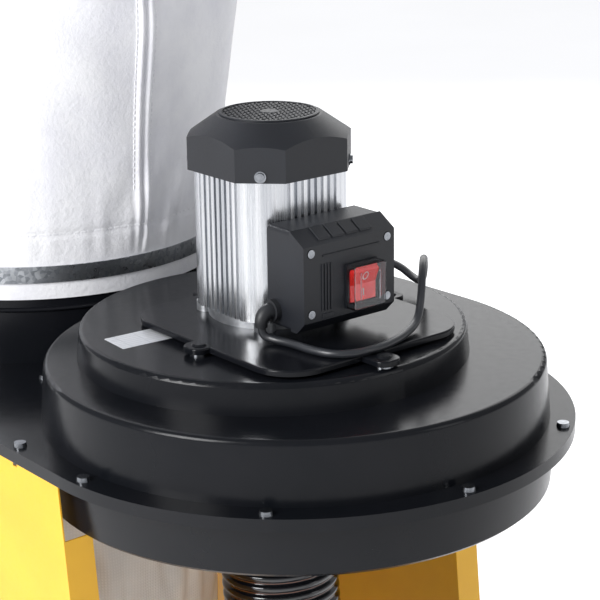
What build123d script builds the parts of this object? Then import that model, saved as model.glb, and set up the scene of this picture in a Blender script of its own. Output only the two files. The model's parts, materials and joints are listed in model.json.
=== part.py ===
"""Workshop dust collector: a fan housing with a vertical motor and a bag collar on a sheet-steel
stand, a cloth filter bag above the collar, a chip bag below it and a suction hose under the fan.

Millimetres. +Z is up, +X runs from the bag collar to the fan, +Y is across. The origin is on the
floor, under the middle of the flange plate. Heights are measured from the floor.
"""
import math
import os

from build123d import *

os.makedirs("parts", exist_ok=True)

# ---------------------------------------------------------------- driving dimensions
clearance = 0.3  # between pieces that only lie against each other
running_fit = 0.05  # radial, between a turning pin and its hole
sheet_wall = 2.0  # wall of the pressed fan housing
collar_wall = 4.0  # wall of the two bag collars, which keeps a rib between collar and scroll

# Fan housing, seen from above: two circles, the scroll round the fan and the bag collar.
motor_to_collar = 389.0
scroll_offset_x = 16.6  # the scroll's centre from the motor axis
scroll_offset_y = 11.1
flange_radius_scroll = 248.0
flange_radius_collar = 236.0
lip_depth = 11.0
lip_wall = 1.8
scroll_radius = 226.0
scroll_bend_y = 228.0  # where the straight back wall of the duct turns to the collar
scroll_bend_x = -250.0
dome_radius = 174.0
draft_angle = 4.68
dome_draft_angle = 6.4
edge_radius = 5.0
pan_radius = 232.0
collar_radius = 184.0
web_length = 60.0
web_width = 84.0
tongue_radius = 12.0
pan_chamfer = 3.0
bead_radius = 2.5
strap_room = 14.0  # between the lower collar and the pan, for the strap of the chip bag

# Heights of the housing.
dome_top = 840.0
dome_height = 26.6
scroll_height = 53.8
gasket_thickness = 1.0
pan_rim_thickness = 2.0
pan_depth = 56.4
collar_rise = 26.0  # collar above the dome's top
chip_collar_depth = 50.0

# Flange screws.
flange_screw_radius = 3.0
flange_screw_head_radius = 5.9
flange_screw_head_height = 3.6
flange_screw_inset = 9.5

# Motor.
motor_plate_min_x = -80.0
motor_plate_max_x = 146.0
motor_plate_half_width = 104.0
motor_plate_thickness = 5.0
motor_plate_lift = 3.0
motor_plate_corner = 38.0
plate_bolt_head_radius = 7.0  # low round heads, painted over with the plate
plate_bolt_head_height = 1.6
motor_width = 114.0
motor_corner_radius = 35.0
motor_bore_radius = 48.2
motor_body_height = 122.5
shield_thickness = 8.5
shield_radius = 56.5
fin_depth = 4.0
fin_gap = 3.2
fin_pitch = 7.2
fins_per_side = 8
tie_rod_offset = 41.0
tie_rod_radius = 2.5
stator_bore_radius = 28.5
stator_height = 70.0
rotor_air_gap = 0.4
rotor_shaft_radius = 12.0
lower_seat_radius = 8.5
upper_seat_radius = 7.5
lower_bearing_radius = 20.0
lower_bearing_height = 12.0
upper_bearing_radius = 17.5
upper_bearing_height = 11.0
cooling_fan_radius = 44.0
cooling_fan_blades = 8
cowl_width = 127.0
cowl_corner_cut = 30.0
cowl_wall = 2.2
cowl_height = 46.0
cowl_facet_height = 28.0
cowl_grille_radius = 44.0
cowl_facet_cone_radius = 70.0

# Impeller.
impeller_radius = 150.0
impeller_blades = 8
impeller_blade_height = 45.0
impeller_plate_thickness = 2.0
impeller_blade_root = 36.0
impeller_hub_radius = 20.0
impeller_hub_height = 30.0
impeller_seat_radius = 9.5

# Switch box on the motor's side.
box_half_width = 49.5
box_bottom = 20.0  # above the dome's top
box_height = 86.0
box_base_depth = 29.8
box_wall = 2.5
lid_depth = 18.0
lid_top_drop = 11.0
lid_screw_recess = 2.0
capacitor_radius = 13.0
lid_bottom_chamfer = 10.0
switch_y = 12.5
switch_height = 54.0
rocker_width = 27.0
rocker_height = 31.0
rocker_throw = 22.0

# Cord gland and mains cord.
gland_x = 66.0
gland_height = 34.0
cord_diameter = 7.0
coil_mid_radius = 38.5
coil_width = 21.0
coil_height = 14.0
coil_x = -172.0  # from the motor axis
coil_y = 164.0
plug_radius = 18.0
plug_length = 36.0

# Inlet and hose.
inlet_radius = 47.6
spigot_wall = 2.0
spigot_length = 57.0
guard_depth = 6.0  # of the crossed bars below the pan's bottom
spigot_flange_radius = 70.0
hose_radius = 54.0
hose_bore_radius = 50.0
cuff_length = 70.0
cuff_wall = 3.0

# Bags.
bag_wall = 1.5
bag_clamp_height = 33.0
bag_full_radius = 212.0
bag_top = 1572.0
strap_width = 16.0
strap_thickness = 1.2
chip_bag_wall = 1.0
chip_bag_foot_radius = 176.0
chip_bag_bottom = 150.0
support_rod_radius = 4.0
total_height = 1610.0

# Stand.
panel_thickness = 1.5
panel_half_spacing = 232.8  # outer faces, from the motor axis
panel_fan_lean = 0.103  # outward run of the panel's ends per unit of drop
panel_bag_lean = 0.16
panel_fan_edge = 5.0  # the top of the panel's fan-side edge, from the motor axis
panel_bag_edge = -395.0
panel_foot_height = 20.0
panel_end_flange = 28.0
panel_top_flange = 20.0
foot_radius = 15.0
wheel_radius = 50.0
wheel_width = 22.0
axle_radius = 6.0
crossbar_size = 30.0
crossbar_wall = 2.0
crossbar_height = 95.0

# ---------------------------------------------------------------- derived positions
motor_x = (motor_to_collar + flange_radius_collar - scroll_offset_x - flange_radius_scroll) / 2
motor_y = -scroll_offset_y
motor = (motor_x, motor_y)
scroll = (motor_x + scroll_offset_x, motor_y + scroll_offset_y)
collar = (motor_x - motor_to_collar, motor_y)
scroll_top = dome_top - dome_height
plate_top = scroll_top - scroll_height
plate_bottom = plate_top - sheet_wall
rim_top = plate_bottom - gasket_thickness
rim_bottom = rim_top - pan_rim_thickness
pan_bottom = rim_bottom - pan_depth + pan_rim_thickness
collar_top = dome_top + collar_rise
motor_plate_bottom = dome_top + motor_plate_lift
motor_plate_top = motor_plate_bottom + motor_plate_thickness
body_bottom = motor_plate_top + shield_thickness
body_top = body_bottom + motor_body_height
box_back = motor_x + motor_width / 2 + 0.2
box_front = box_back + box_base_depth
lid_front = box_front + lid_depth
box_floor = dome_top + box_bottom
box_ceiling = box_floor + box_height


def level(height, centre=(0, 0)):
    """Horizontal plane at a height, centred on a plan position."""
    return Plane(origin=(centre[0], centre[1], height))


def upright(x, y):
    """Vertical plane facing the front, with its own axes along X and Z."""
    return Plane(origin=(x, y, 0), x_dir=(1, 0, 0), z_dir=(0, -1, 0))


def fan_side(x, y, z):
    """Vertical plane facing the fan's end, with its own axes along Y and Z."""
    return Plane(origin=(x, y, z), x_dir=(0, 1, 0), z_dir=(1, 0, 0))


def save(part, name):
    """Label a finished piece and write it."""
    part.label = name
    export_step(part, f"parts/{name}.step")


def on_circle(centre, radius, degrees):
    """Plan point on a circle."""
    angle = math.radians(degrees)
    return (centre[0] + radius * math.cos(angle), centre[1] + radius * math.sin(angle))


def tangent_quad(radius_scroll, radius_collar):
    """Corners of the straight-sided strip between the scroll and collar circles."""
    dx, dy = collar[0] - scroll[0], collar[1] - scroll[1]
    span = math.hypot(dx, dy)
    along = math.atan2(dy, dx)
    lean = math.acos((radius_scroll - radius_collar) / span)
    points = []
    for centre, radius, side in (
        (scroll, radius_scroll, 1),
        (collar, radius_collar, 1),
        (collar, radius_collar, -1),
        (scroll, radius_scroll, -1),
    ):
        angle = along + side * lean
        points.append((centre[0] + radius * math.cos(angle), centre[1] + radius * math.sin(angle)))
    return points


def housing_outline(radius_scroll, radius_collar, mode=Mode.ADD):
    """Both circles of the housing and the strip that joins them."""
    with Locations(scroll):
        Circle(radius_scroll, mode=mode)
    with Locations(collar):
        Circle(radius_collar, mode=mode)
    Polygon(*tangent_quad(radius_scroll, radius_collar), align=None, mode=mode)


def duct_outline(inset, mode=Mode.ADD):
    """The scroll and the duct that runs along the back into the collar."""
    with Locations(scroll):
        Circle(scroll_radius - inset, mode=mode)
    inner_reach = collar_radius - 14
    bend = (motor_x + scroll_bend_x, motor_y + scroll_bend_y - inset)
    dx, dy = bend[0] - scroll[0], bend[1] - scroll[1]
    touch = math.atan2(dy, dx) - math.acos((scroll_radius - inset) / math.hypot(dx, dy))
    tongue = 12 + 6 * inset  # the duct starts beside the rib between scroll and collar
    Polygon(
        (scroll[0], scroll[1] + tongue),
        on_circle(scroll, scroll_radius - inset, math.degrees(touch)),
        bend,
        (collar[0] + 60, collar[1] + inner_reach - inset),
        (collar[0], collar[1] + tongue),
        align=None,
        mode=mode,
    )


# Plan positions of the flange screws: round the scroll, along the straight front and round
# the collar.
screw_ring_scroll = flange_radius_scroll - flange_screw_inset
screw_ring_collar = flange_radius_collar - flange_screw_inset
flange_screw_places = [on_circle(scroll, screw_ring_scroll, -85.2 + 40.6 * k) for k in range(6)]
flange_screw_places += [on_circle(collar, screw_ring_collar, 95 + 36 * k) for k in range(6)]
flange_screw_places += [(motor_x - 62, motor_y - 226.5), (motor_x - 195, motor_y - 119.7)]

# ---------------------------------------------------------------- fan housing cover
with BuildPart() as fan_housing_cover:
    with BuildSketch(level(plate_top - lip_depth)):
        housing_outline(flange_radius_scroll, flange_radius_collar)
    extrude(amount=lip_depth)
    with BuildSketch(level(plate_top - lip_depth)):
        housing_outline(flange_radius_scroll - lip_wall, flange_radius_collar - lip_wall)
    extrude(amount=lip_depth - sheet_wall, mode=Mode.SUBTRACT)
    with BuildSketch(level(plate_top - sheet_wall / 2)):
        duct_outline(0)
        # the web that joins the scroll to the collar in front of the duct
        with Locations((collar[0] + collar_radius, motor_y)):
            Rectangle(web_length, web_width)
    extrude(amount=scroll_height + sheet_wall / 2, taper=draft_angle)
    fillet(fan_housing_cover.faces().sort_by(Axis.Z)[-1].edges(), edge_radius)
    with BuildSketch(level(scroll_top - sheet_wall / 2, motor)):
        Circle(dome_radius)
    extrude(amount=dome_height + sheet_wall / 2, taper=dome_draft_angle)
    fillet(fan_housing_cover.faces().sort_by(Axis.Z)[-1].edges(), edge_radius)
    with BuildSketch(level(plate_bottom, collar)):
        Circle(collar_radius)
    extrude(amount=collar_top - plate_bottom)
    with BuildSketch(upright(*collar)):
        with Locations((collar_radius - 0.5, dome_top - 27)):
            Circle(bead_radius)
    revolve(axis=Axis((collar[0], collar[1], 0), (0, 0, 1)))
    # the hollow inside
    with BuildSketch(level(plate_bottom)) as hollow:
        duct_outline(sheet_wall)
        tongue_corner = hollow.vertices().sort_by_distance(Vertex(collar[0] + collar_radius, motor_y))[0]
        fillet(tongue_corner, tongue_radius)
    extrude(amount=scroll_height, taper=draft_angle, mode=Mode.SUBTRACT)
    with BuildSketch(level(scroll_top - 2 * sheet_wall, motor)):
        Circle(dome_radius - sheet_wall)
    extrude(amount=dome_height + sheet_wall, taper=dome_draft_angle, mode=Mode.SUBTRACT)
    with BuildSketch(level(plate_bottom, collar)):
        Circle(collar_radius - collar_wall)
    extrude(amount=collar_top - plate_bottom, mode=Mode.SUBTRACT)
    with BuildSketch(level(dome_top - 2 * sheet_wall, motor)):
        Circle(rotor_shaft_radius + 3)
    extrude(amount=3 * sheet_wall, mode=Mode.SUBTRACT)
    with BuildSketch(level(plate_bottom)):
        with Locations(*flange_screw_places):
            Circle(flange_screw_radius + clearance)
    extrude(amount=sheet_wall, mode=Mode.SUBTRACT)
save(fan_housing_cover.part, "fan_housing_cover")

# ---------------------------------------------------------------- pan and lower collar
rim_inset = lip_wall + 1.0
pan_flat_x = collar[0] + collar_radius + strap_room  # the pan's flat side beside the chip bag
with BuildPart() as fan_housing_pan:
    with BuildSketch(level(rim_bottom)):
        housing_outline(flange_radius_scroll - rim_inset, flange_radius_collar - rim_inset)
    extrude(amount=pan_rim_thickness)
    with BuildSketch(level(rim_top - pan_rim_thickness / 2)):
        with Locations(scroll):
            Circle(pan_radius)
        with Locations((pan_flat_x - pan_radius / 2, scroll[1])):
            Rectangle(pan_radius, 2 * pan_radius, mode=Mode.SUBTRACT)
    extrude(amount=-(pan_depth - pan_rim_thickness / 2), taper=draft_angle)
    chamfer(fan_housing_pan.faces().sort_by(Axis.Z)[0].edges(), pan_chamfer)
    with BuildSketch(level(rim_bottom, collar)):
        Circle(collar_radius)
    extrude(amount=-chip_collar_depth)
    with BuildSketch(upright(*collar)):
        with Locations((collar_radius - 0.5, rim_bottom - chip_collar_depth + bead_radius)):
            Circle(bead_radius)
    revolve(axis=Axis((collar[0], collar[1], 0), (0, 0, 1)))
    with BuildSketch(level(rim_top)):
        with Locations(scroll):
            Circle(pan_radius - sheet_wall)
        with Locations((pan_flat_x + sheet_wall - pan_radius / 2, scroll[1])):
            Rectangle(pan_radius, 2 * pan_radius, mode=Mode.SUBTRACT)
    extrude(amount=-(pan_depth - sheet_wall), taper=draft_angle, mode=Mode.SUBTRACT)
    with BuildSketch(level(rim_top, collar)):
        Circle(collar_radius - collar_wall)
    extrude(amount=-(chip_collar_depth + pan_rim_thickness + 2), mode=Mode.SUBTRACT)
    with BuildSketch(level(pan_bottom - sheet_wall, motor)):
        Circle(inlet_radius)
    extrude(amount=3 * sheet_wall, mode=Mode.SUBTRACT)
    with BuildSketch(level(rim_bottom)):
        with Locations(*flange_screw_places):
            Circle(flange_screw_radius + clearance)
    extrude(amount=pan_rim_thickness, mode=Mode.SUBTRACT)
save(fan_housing_pan.part, "fan_housing_pan")

with BuildPart() as housing_gasket:
    with BuildSketch(level(rim_top)):
        housing_outline(flange_radius_scroll - rim_inset, flange_radius_collar - rim_inset)
        with Locations(scroll):
            Circle(pan_radius, mode=Mode.SUBTRACT)
        duct_outline(0, mode=Mode.SUBTRACT)
        with Locations(collar):
            Circle(collar_radius, mode=Mode.SUBTRACT)
        with Locations(*flange_screw_places):
            Circle(flange_screw_radius + clearance, mode=Mode.SUBTRACT)
    extrude(amount=gasket_thickness)
save(housing_gasket.part, "housing_gasket")

# ---------------------------------------------------------------- flange screws and nuts
nut_height = 5.0
screw_end = rim_bottom - nut_height - 4.0
with BuildPart() as flange_screws:
    with BuildSketch(level(plate_top)):
        with Locations(*flange_screw_places):
            Circle(flange_screw_head_radius)
    extrude(amount=flange_screw_head_height, taper=12)
    with BuildSketch(level(screw_end)):
        with Locations(*flange_screw_places):
            Circle(flange_screw_radius)
    extrude(amount=plate_top - screw_end)
save(flange_screws.part, "flange_screws")

with BuildPart() as flange_nuts:
    with BuildSketch(level(rim_bottom - nut_height)):
        with Locations(*flange_screw_places):
            RegularPolygon(5.0, 6, major_radius=False)
            Circle(flange_screw_radius, mode=Mode.SUBTRACT)
    extrude(amount=nut_height)
save(flange_nuts.part, "flange_nuts")

# ---------------------------------------------------------------- motor plate
plate_mid_x = motor_x + (motor_plate_min_x + motor_plate_max_x) / 2
lug_width = 24.0
front_lug = (motor_x + 35, motor_y - motor_plate_half_width - 2)
rear_lug = (motor_x + 35, motor_y + motor_plate_half_width + 2)
fan_lug = (motor_x + motor_plate_max_x + 14, motor_y - 11)
bag_lug = (motor_x + motor_plate_min_x - 2, motor_y - 11)
plate_lugs = [front_lug, rear_lug, fan_lug, bag_lug]
with BuildPart() as motor_plate:
    with BuildSketch(level(motor_plate_bottom, (plate_mid_x, motor_y))) :
        RectangleRounded(
            motor_plate_max_x - motor_plate_min_x, 2 * motor_plate_half_width, motor_plate_corner
        )
    extrude(amount=motor_plate_thickness)
    with BuildSketch(level(motor_plate_bottom)):
        with Locations(*plate_lugs):
            RectangleRounded(lug_width, lug_width, 9)
        with Locations((fan_lug[0] - lug_width / 2, fan_lug[1])):
            Rectangle(lug_width, lug_width)
    extrude(amount=motor_plate_thickness)
    fillet(motor_plate.faces().sort_by(Axis.Z)[-1].edges(), 1.5)
    with BuildSketch(level(motor_plate_bottom)):
        with Locations(motor):
            Circle(rotor_shaft_radius + 8)
        with Locations(*plate_lugs):
            Circle(flange_screw_radius + clearance)
        with Locations((motor_x + 99, motor_y + 84)):
            Circle(2.5)
    extrude(amount=motor_plate_thickness, mode=Mode.SUBTRACT)
save(motor_plate.part, "motor_plate")

with BuildPart() as motor_plate_spacers:
    with BuildSketch(level(dome_top)):
        with Locations(*plate_lugs):
            Circle(8.0)
            Circle(flange_screw_radius + clearance, mode=Mode.SUBTRACT)
    extrude(amount=motor_plate_lift)
save(motor_plate_spacers.part, "motor_plate_spacers")

with BuildPart() as motor_plate_bolts:
    with BuildSketch(level(motor_plate_top)):
        with Locations(*plate_lugs):
            Circle(plate_bolt_head_radius)
    extrude(amount=plate_bolt_head_height, taper=40)
    with BuildSketch(level(dome_top)):
        with Locations(*plate_lugs):
            Circle(flange_screw_radius)
    extrude(amount=motor_plate_top - dome_top)
save(motor_plate_bolts.part, "motor_plate_bolts")

# ---------------------------------------------------------------- motor
tie_rod_places = [
    (motor_x + sx * tie_rod_offset, motor_y + sy * tie_rod_offset)
    for sx in (-1, 1)
    for sy in (-1, 1)
]


def motor_square(height, width=motor_width, radius=motor_corner_radius):
    """The motor's rounded square section at a height."""
    with BuildSketch(level(height, motor)) as section:
        RectangleRounded(width, width, radius)
    return section.sketch


with BuildPart() as motor_housing:
    extrude(motor_square(body_bottom), amount=motor_body_height)
    with BuildSketch(level(body_bottom, motor)):
        Circle(motor_bore_radius)
    extrude(amount=motor_body_height, mode=Mode.SUBTRACT)
    first_fin = -(fins_per_side - 1) / 2 * fin_pitch
    with BuildSketch(level(body_bottom, motor)):
        for turn in range(4):
            for k in range(fins_per_side):
                offset_along = first_fin + k * fin_pitch
                depth_here = fin_depth - 1.5 * abs(offset_along) / abs(first_fin)
                along = Location((0, 0), 90 * turn)
                place = along * Location((motor_width / 2 - depth_here / 2 + 0.5, offset_along))
                with Locations(place):
                    Rectangle(depth_here + 1, fin_gap)
    extrude(amount=motor_body_height, mode=Mode.SUBTRACT)
    with BuildSketch(level(body_bottom)):
        with Locations(*tie_rod_places):
            Circle(tie_rod_radius + 0.2)
    extrude(amount=motor_body_height, mode=Mode.SUBTRACT)
save(motor_housing.part, "motor_housing")

lower_pocket_bottom = motor_plate_top + 2.5
with BuildPart() as lower_end_shield:
    with BuildSketch(level(motor_plate_top)):
        with Locations(motor):
            Circle(shield_radius)
        with Locations(*tie_rod_places):
            Circle(9.5)
    extrude(amount=shield_thickness)
    with BuildSketch(level(motor_plate_top, motor)):
        Circle(lower_bearing_radius + 5)
    extrude(amount=lower_pocket_bottom + lower_bearing_height - motor_plate_top)
    with BuildSketch(level(lower_pocket_bottom, motor)):
        Circle(lower_bearing_radius)
    extrude(amount=lower_bearing_height, mode=Mode.SUBTRACT)
    with BuildSketch(level(motor_plate_top)):
        with Locations(motor):
            Circle(lower_bearing_radius - 8)
        with Locations(*tie_rod_places):
            Circle(tie_rod_radius + 0.2)
    extrude(amount=shield_thickness, mode=Mode.SUBTRACT)
save(lower_end_shield.part, "lower_end_shield")

upper_shield_width = cowl_width - 2 * cowl_wall - 10.6
upper_pocket_top = body_top + shield_thickness - 4
with BuildPart() as upper_end_shield:
    extrude(motor_square(body_top, upper_shield_width), amount=shield_thickness)
    with BuildSketch(level(upper_pocket_top - upper_bearing_height, motor)):
        Circle(upper_bearing_radius + 5)
    extrude(amount=upper_bearing_height)
    with BuildSketch(level(upper_pocket_top - upper_bearing_height, motor)):
        Circle(upper_bearing_radius)
    extrude(amount=upper_bearing_height, mode=Mode.SUBTRACT)
    with BuildSketch(level(body_top)):
        with Locations(motor):
            Circle(upper_bearing_radius - 7)
        with Locations(*tie_rod_places):
            Circle(tie_rod_radius + 0.2)
    extrude(amount=shield_thickness, mode=Mode.SUBTRACT)
save(upper_end_shield.part, "upper_end_shield")

with BuildPart() as tie_rods:
    with BuildSketch(level(motor_plate_top)):
        with Locations(*tie_rod_places):
            Circle(tie_rod_radius)
    extrude(amount=2 * shield_thickness + motor_body_height)
    with BuildSketch(level(body_top + shield_thickness)):
        with Locations(*tie_rod_places):
            RegularPolygon(4.0, 6, major_radius=False)
    extrude(amount=3.2)
save(tie_rods.part, "tie_rods")

stator_bottom = (body_bottom + body_top - stator_height) / 2 - 3
stator_top = stator_bottom + stator_height
with BuildPart() as stator_core:
    with BuildSketch(level(stator_bottom, motor)):
        Circle(motor_bore_radius - 0.1)
        Circle(stator_bore_radius, mode=Mode.SUBTRACT)
        with PolarLocations(stator_bore_radius + 9, 24):
            SlotOverall(11, 4, mode=Mode.SUBTRACT)
    extrude(amount=stator_height)
save(stator_core.part, "stator_core")

winding_height = 14.0
with BuildPart() as stator_windings:
    for winding_bottom in (stator_bottom - winding_height, stator_top):
        with BuildSketch(level(winding_bottom, motor)):
            Circle(44.0)
            Circle(30.5, mode=Mode.SUBTRACT)
        extrude(amount=winding_height)
    fillet(stator_windings.edges().group_by(Axis.Z)[0], 3)
    fillet(stator_windings.edges().group_by(Axis.Z)[-1], 3)
save(stator_windings.part, "stator_windings")

with BuildPart() as rotor_core:
    with BuildSketch(level(stator_bottom, motor)):
        Circle(stator_bore_radius - rotor_air_gap)
        Circle(rotor_shaft_radius, mode=Mode.SUBTRACT)
    extrude(amount=stator_height)
save(rotor_core.part, "rotor_core")

hub_top = plate_top + 30.0
hub_bottom = hub_top - impeller_hub_height
lower_shoulder = lower_pocket_bottom + lower_bearing_height + 0.5
upper_shoulder = upper_pocket_top - upper_bearing_height - 0.5
shaft_top = body_top + 34.0
with BuildPart() as motor_shaft:
    for bottom, top, radius in (
        (hub_bottom, lower_pocket_bottom - 0.5, impeller_seat_radius),
        (lower_pocket_bottom - 0.5, lower_shoulder, lower_seat_radius),
        (lower_shoulder, upper_shoulder, rotor_shaft_radius),
        (upper_shoulder, shaft_top, upper_seat_radius),
    ):
        with BuildSketch(level(bottom, motor)):
            Circle(radius)
        extrude(amount=top - bottom)
save(motor_shaft.part, "motor_shaft")


def ball_bearing(bottom, height, seat_radius, outer_radius, name):
    """Shielded bearing that stays in its pocket, with the shaft running in it."""
    with BuildPart() as bearing:
        with BuildSketch(level(bottom, motor)):
            Circle(outer_radius - 0.02)
            Circle(seat_radius + running_fit, mode=Mode.SUBTRACT)
        extrude(amount=height)
    save(bearing.part, name)


ball_bearing(
    lower_pocket_bottom, lower_bearing_height, lower_seat_radius, lower_bearing_radius,
    "lower_bearing",
)
ball_bearing(
    upper_pocket_top - upper_bearing_height, upper_bearing_height, upper_seat_radius,
    upper_bearing_radius, "upper_bearing",
)

fan_bottom = body_top + shield_thickness + 5.0
fan_blade_height = 13.0
with BuildPart() as cooling_fan:
    with BuildSketch(level(fan_bottom, motor)):
        Circle(cooling_fan_radius)
    extrude(amount=2.0)
    with BuildSketch(level(fan_bottom, motor)):
        Circle(13.0)
    extrude(amount=fan_blade_height)
    with BuildSketch(level(fan_bottom + 1.0, motor)):
        with PolarLocations((cooling_fan_radius + 12) / 2, cooling_fan_blades):
            Rectangle(cooling_fan_radius - 12, 2.0)
    extrude(amount=fan_blade_height - 1.0)
    with BuildSketch(level(fan_bottom, motor)):
        Circle(upper_seat_radius)
    extrude(amount=fan_blade_height, mode=Mode.SUBTRACT)
save(cooling_fan.part, "cooling_fan")

# ---------------------------------------------------------------- fan cowl
cowl_top = body_top + cowl_height
facet_top = body_top + cowl_facet_height
cowl_slope = (cowl_facet_cone_radius - cowl_grille_radius) / (cowl_top - facet_top)


def octagon(height, half_width, corner_cut):
    """Square with cut corners, the cowl's plan."""
    inner = half_width - corner_cut
    corners = []
    for sx, sy in ((1, 1), (-1, 1), (-1, -1), (1, -1)):
        pair = [(sx * half_width, sy * inner), (sx * inner, sy * half_width)]
        corners += pair if sx * sy > 0 else pair[::-1]
    with BuildSketch(level(height, motor)) as section:
        Polygon(*corners, align=None)
    return section.sketch


with BuildPart() as fan_cowl:
    extrude(octagon(body_top, cowl_width / 2, cowl_corner_cut), amount=cowl_height)
    cone_foot = cowl_grille_radius + 2 + cowl_slope * cowl_height
    with BuildSketch(level(body_top, motor)):
        Circle(cone_foot)
    cone_angle = math.degrees(math.atan(cowl_slope))
    extrude(amount=cowl_height, taper=cone_angle, mode=Mode.INTERSECT)
    inner_cut = cowl_corner_cut - cowl_wall * (2 - math.sqrt(2)) / 2
    with BuildPart(mode=Mode.PRIVATE) as cowl_inside:
        inside_plan = octagon(body_top, cowl_width / 2 - cowl_wall, inner_cut)
        extrude(inside_plan, amount=cowl_height - cowl_wall)
        with BuildSketch(level(body_top, motor)):
            Circle(cone_foot - 1.3 * cowl_wall)
        extrude(amount=cowl_height, taper=cone_angle, mode=Mode.INTERSECT)
    add(cowl_inside.part, mode=Mode.SUBTRACT)
    with BuildSketch(level(cowl_top - 2 * cowl_wall, motor)):
        for ring_radius, ring_holes in ((18.0, 10), (26.5, 15), (35.0, 20)):
            with PolarLocations(ring_radius, ring_holes):
                RegularPolygon(3.4, 6)
    extrude(amount=3 * cowl_wall, mode=Mode.SUBTRACT)
save(fan_cowl.part, "fan_cowl")

facet_distance = (cowl_width - cowl_corner_cut) / math.sqrt(2)
cowl_screw_height = body_top + 5.5
with BuildPart() as cowl_screws:
    for turn in range(4):
        angle = 45 + 90 * turn
        outward = (math.cos(math.radians(angle)), math.sin(math.radians(angle)), 0)
        base = (
            motor_x + facet_distance * outward[0],
            motor_y + facet_distance * outward[1],
            cowl_screw_height,
        )
        with BuildSketch(Plane(origin=base, z_dir=outward)):
            Circle(5.0)
        extrude(amount=1.0)
        with BuildSketch(Plane(origin=base, z_dir=outward)):
            Circle(3.6)
        extrude(amount=3.2)
save(cowl_screws.part, "cowl_screws")

# ---------------------------------------------------------------- impeller
back_plate_bottom = hub_bottom + 8.0
with BuildPart() as impeller:
    with BuildSketch(level(back_plate_bottom, motor)):
        Circle(impeller_radius)
    extrude(amount=impeller_plate_thickness)
    with BuildSketch(level(hub_bottom, motor)):
        Circle(impeller_hub_radius)
    extrude(amount=impeller_hub_height)
    blade_length = impeller_radius - impeller_blade_root - 2
    blade_mid = (impeller_radius + impeller_blade_root) / 2
    with BuildSketch(level(back_plate_bottom + 0.5, motor)):
        with PolarLocations(blade_mid, impeller_blades):
            Rectangle(blade_length, 2.5, rotation=-18)
    extrude(amount=-impeller_blade_height)
    with BuildSketch(level(hub_bottom, motor)):
        Circle(impeller_seat_radius)
    extrude(amount=impeller_hub_height, mode=Mode.SUBTRACT)
save(impeller.part, "impeller")

with BuildPart() as impeller_bolt:
    with BuildSketch(level(hub_bottom - 3, motor)):
        Circle(14.0)
    extrude(amount=3)
    with BuildSketch(level(hub_bottom - 3, motor)):
        RegularPolygon(6.5, 6, major_radius=False)
    extrude(amount=-6)
save(impeller_bolt.part, "impeller_bolt")

# ---------------------------------------------------------------- switch box
with BuildPart() as switch_box_base:
    with BuildSketch(fan_side(box_back, motor_y, box_floor + box_height / 2)):
        RectangleRounded(2 * box_half_width, box_height, 4)
    extrude(amount=box_base_depth)
    with BuildSketch(fan_side(box_back + box_wall, motor_y, box_floor + box_height / 2)):
        RectangleRounded(2 * (box_half_width - box_wall), box_height - 2 * box_wall, 2)
    extrude(amount=box_base_depth, mode=Mode.SUBTRACT)
    gland_base = (motor_x + gland_x, motor_y - box_half_width - 1, dome_top + gland_height)
    with BuildSketch(Plane(origin=gland_base, z_dir=(0, 1, 0))):
        Circle(6.0)
    extrude(amount=box_wall + 2, mode=Mode.SUBTRACT)
save(switch_box_base.part, "switch_box_base")

switch_z = dome_top + switch_height
switch_mid_y = motor_y + switch_y
lid_screw_places = [
    (sy * (box_half_width - 8), sz * (box_height / 2 - 17)) for sy in (-1, 1) for sz in (-1, 1)
]
with BuildPart() as switch_box_lid:
    with BuildSketch(upright(0, motor_y + box_half_width)):
        Polygon(
            (box_front, box_floor),
            (lid_front - lid_bottom_chamfer, box_floor),
            (lid_front, box_floor + lid_bottom_chamfer),
            (lid_front, box_ceiling - lid_top_drop),
            (box_front, box_ceiling),
            align=None,
        )
    extrude(amount=2 * box_half_width)
    with BuildSketch(upright(0, motor_y + box_half_width - box_wall)):
        Polygon(
            (box_front, box_floor + box_wall),
            (lid_front - lid_bottom_chamfer - box_wall / 2, box_floor + box_wall),
            (lid_front - box_wall, box_floor + lid_bottom_chamfer + box_wall / 2),
            (lid_front - box_wall, box_ceiling - lid_top_drop - box_wall),
            (box_front, box_ceiling - 1.2 * box_wall),
            align=None,
        )
    extrude(amount=2 * (box_half_width - box_wall), mode=Mode.SUBTRACT)
    with BuildSketch(fan_side(lid_front - 2 * box_wall, switch_mid_y, switch_z)):
        Rectangle(rocker_width + 4, rocker_height + 4)
    extrude(amount=3 * box_wall, mode=Mode.SUBTRACT)
    screw_plane = fan_side(lid_front - lid_screw_recess, motor_y, box_floor + box_height / 2)
    with BuildSketch(screw_plane):
        with Locations(*lid_screw_places):
            Circle(4.2)
    extrude(amount=4, mode=Mode.SUBTRACT)
    with BuildSketch(screw_plane):
        with Locations(*lid_screw_places):
            Circle(5.0)
    extrude(amount=-(lid_depth - lid_screw_recess))
    with BuildSketch(screw_plane):
        with Locations(*lid_screw_places):
            Circle(2.0)
    extrude(amount=-(lid_depth - lid_screw_recess), mode=Mode.SUBTRACT)
save(switch_box_lid.part, "switch_box_lid")

with BuildPart() as lid_screws:
    with BuildSketch(screw_plane):
        with Locations(*lid_screw_places):
            Circle(3.6)
    extrude(amount=2.4)
    with BuildSketch(screw_plane):
        with Locations(*lid_screw_places):
            Circle(1.9)
    extrude(amount=-(lid_depth - lid_screw_recess))
save(lid_screws.part, "lid_screws")

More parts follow.
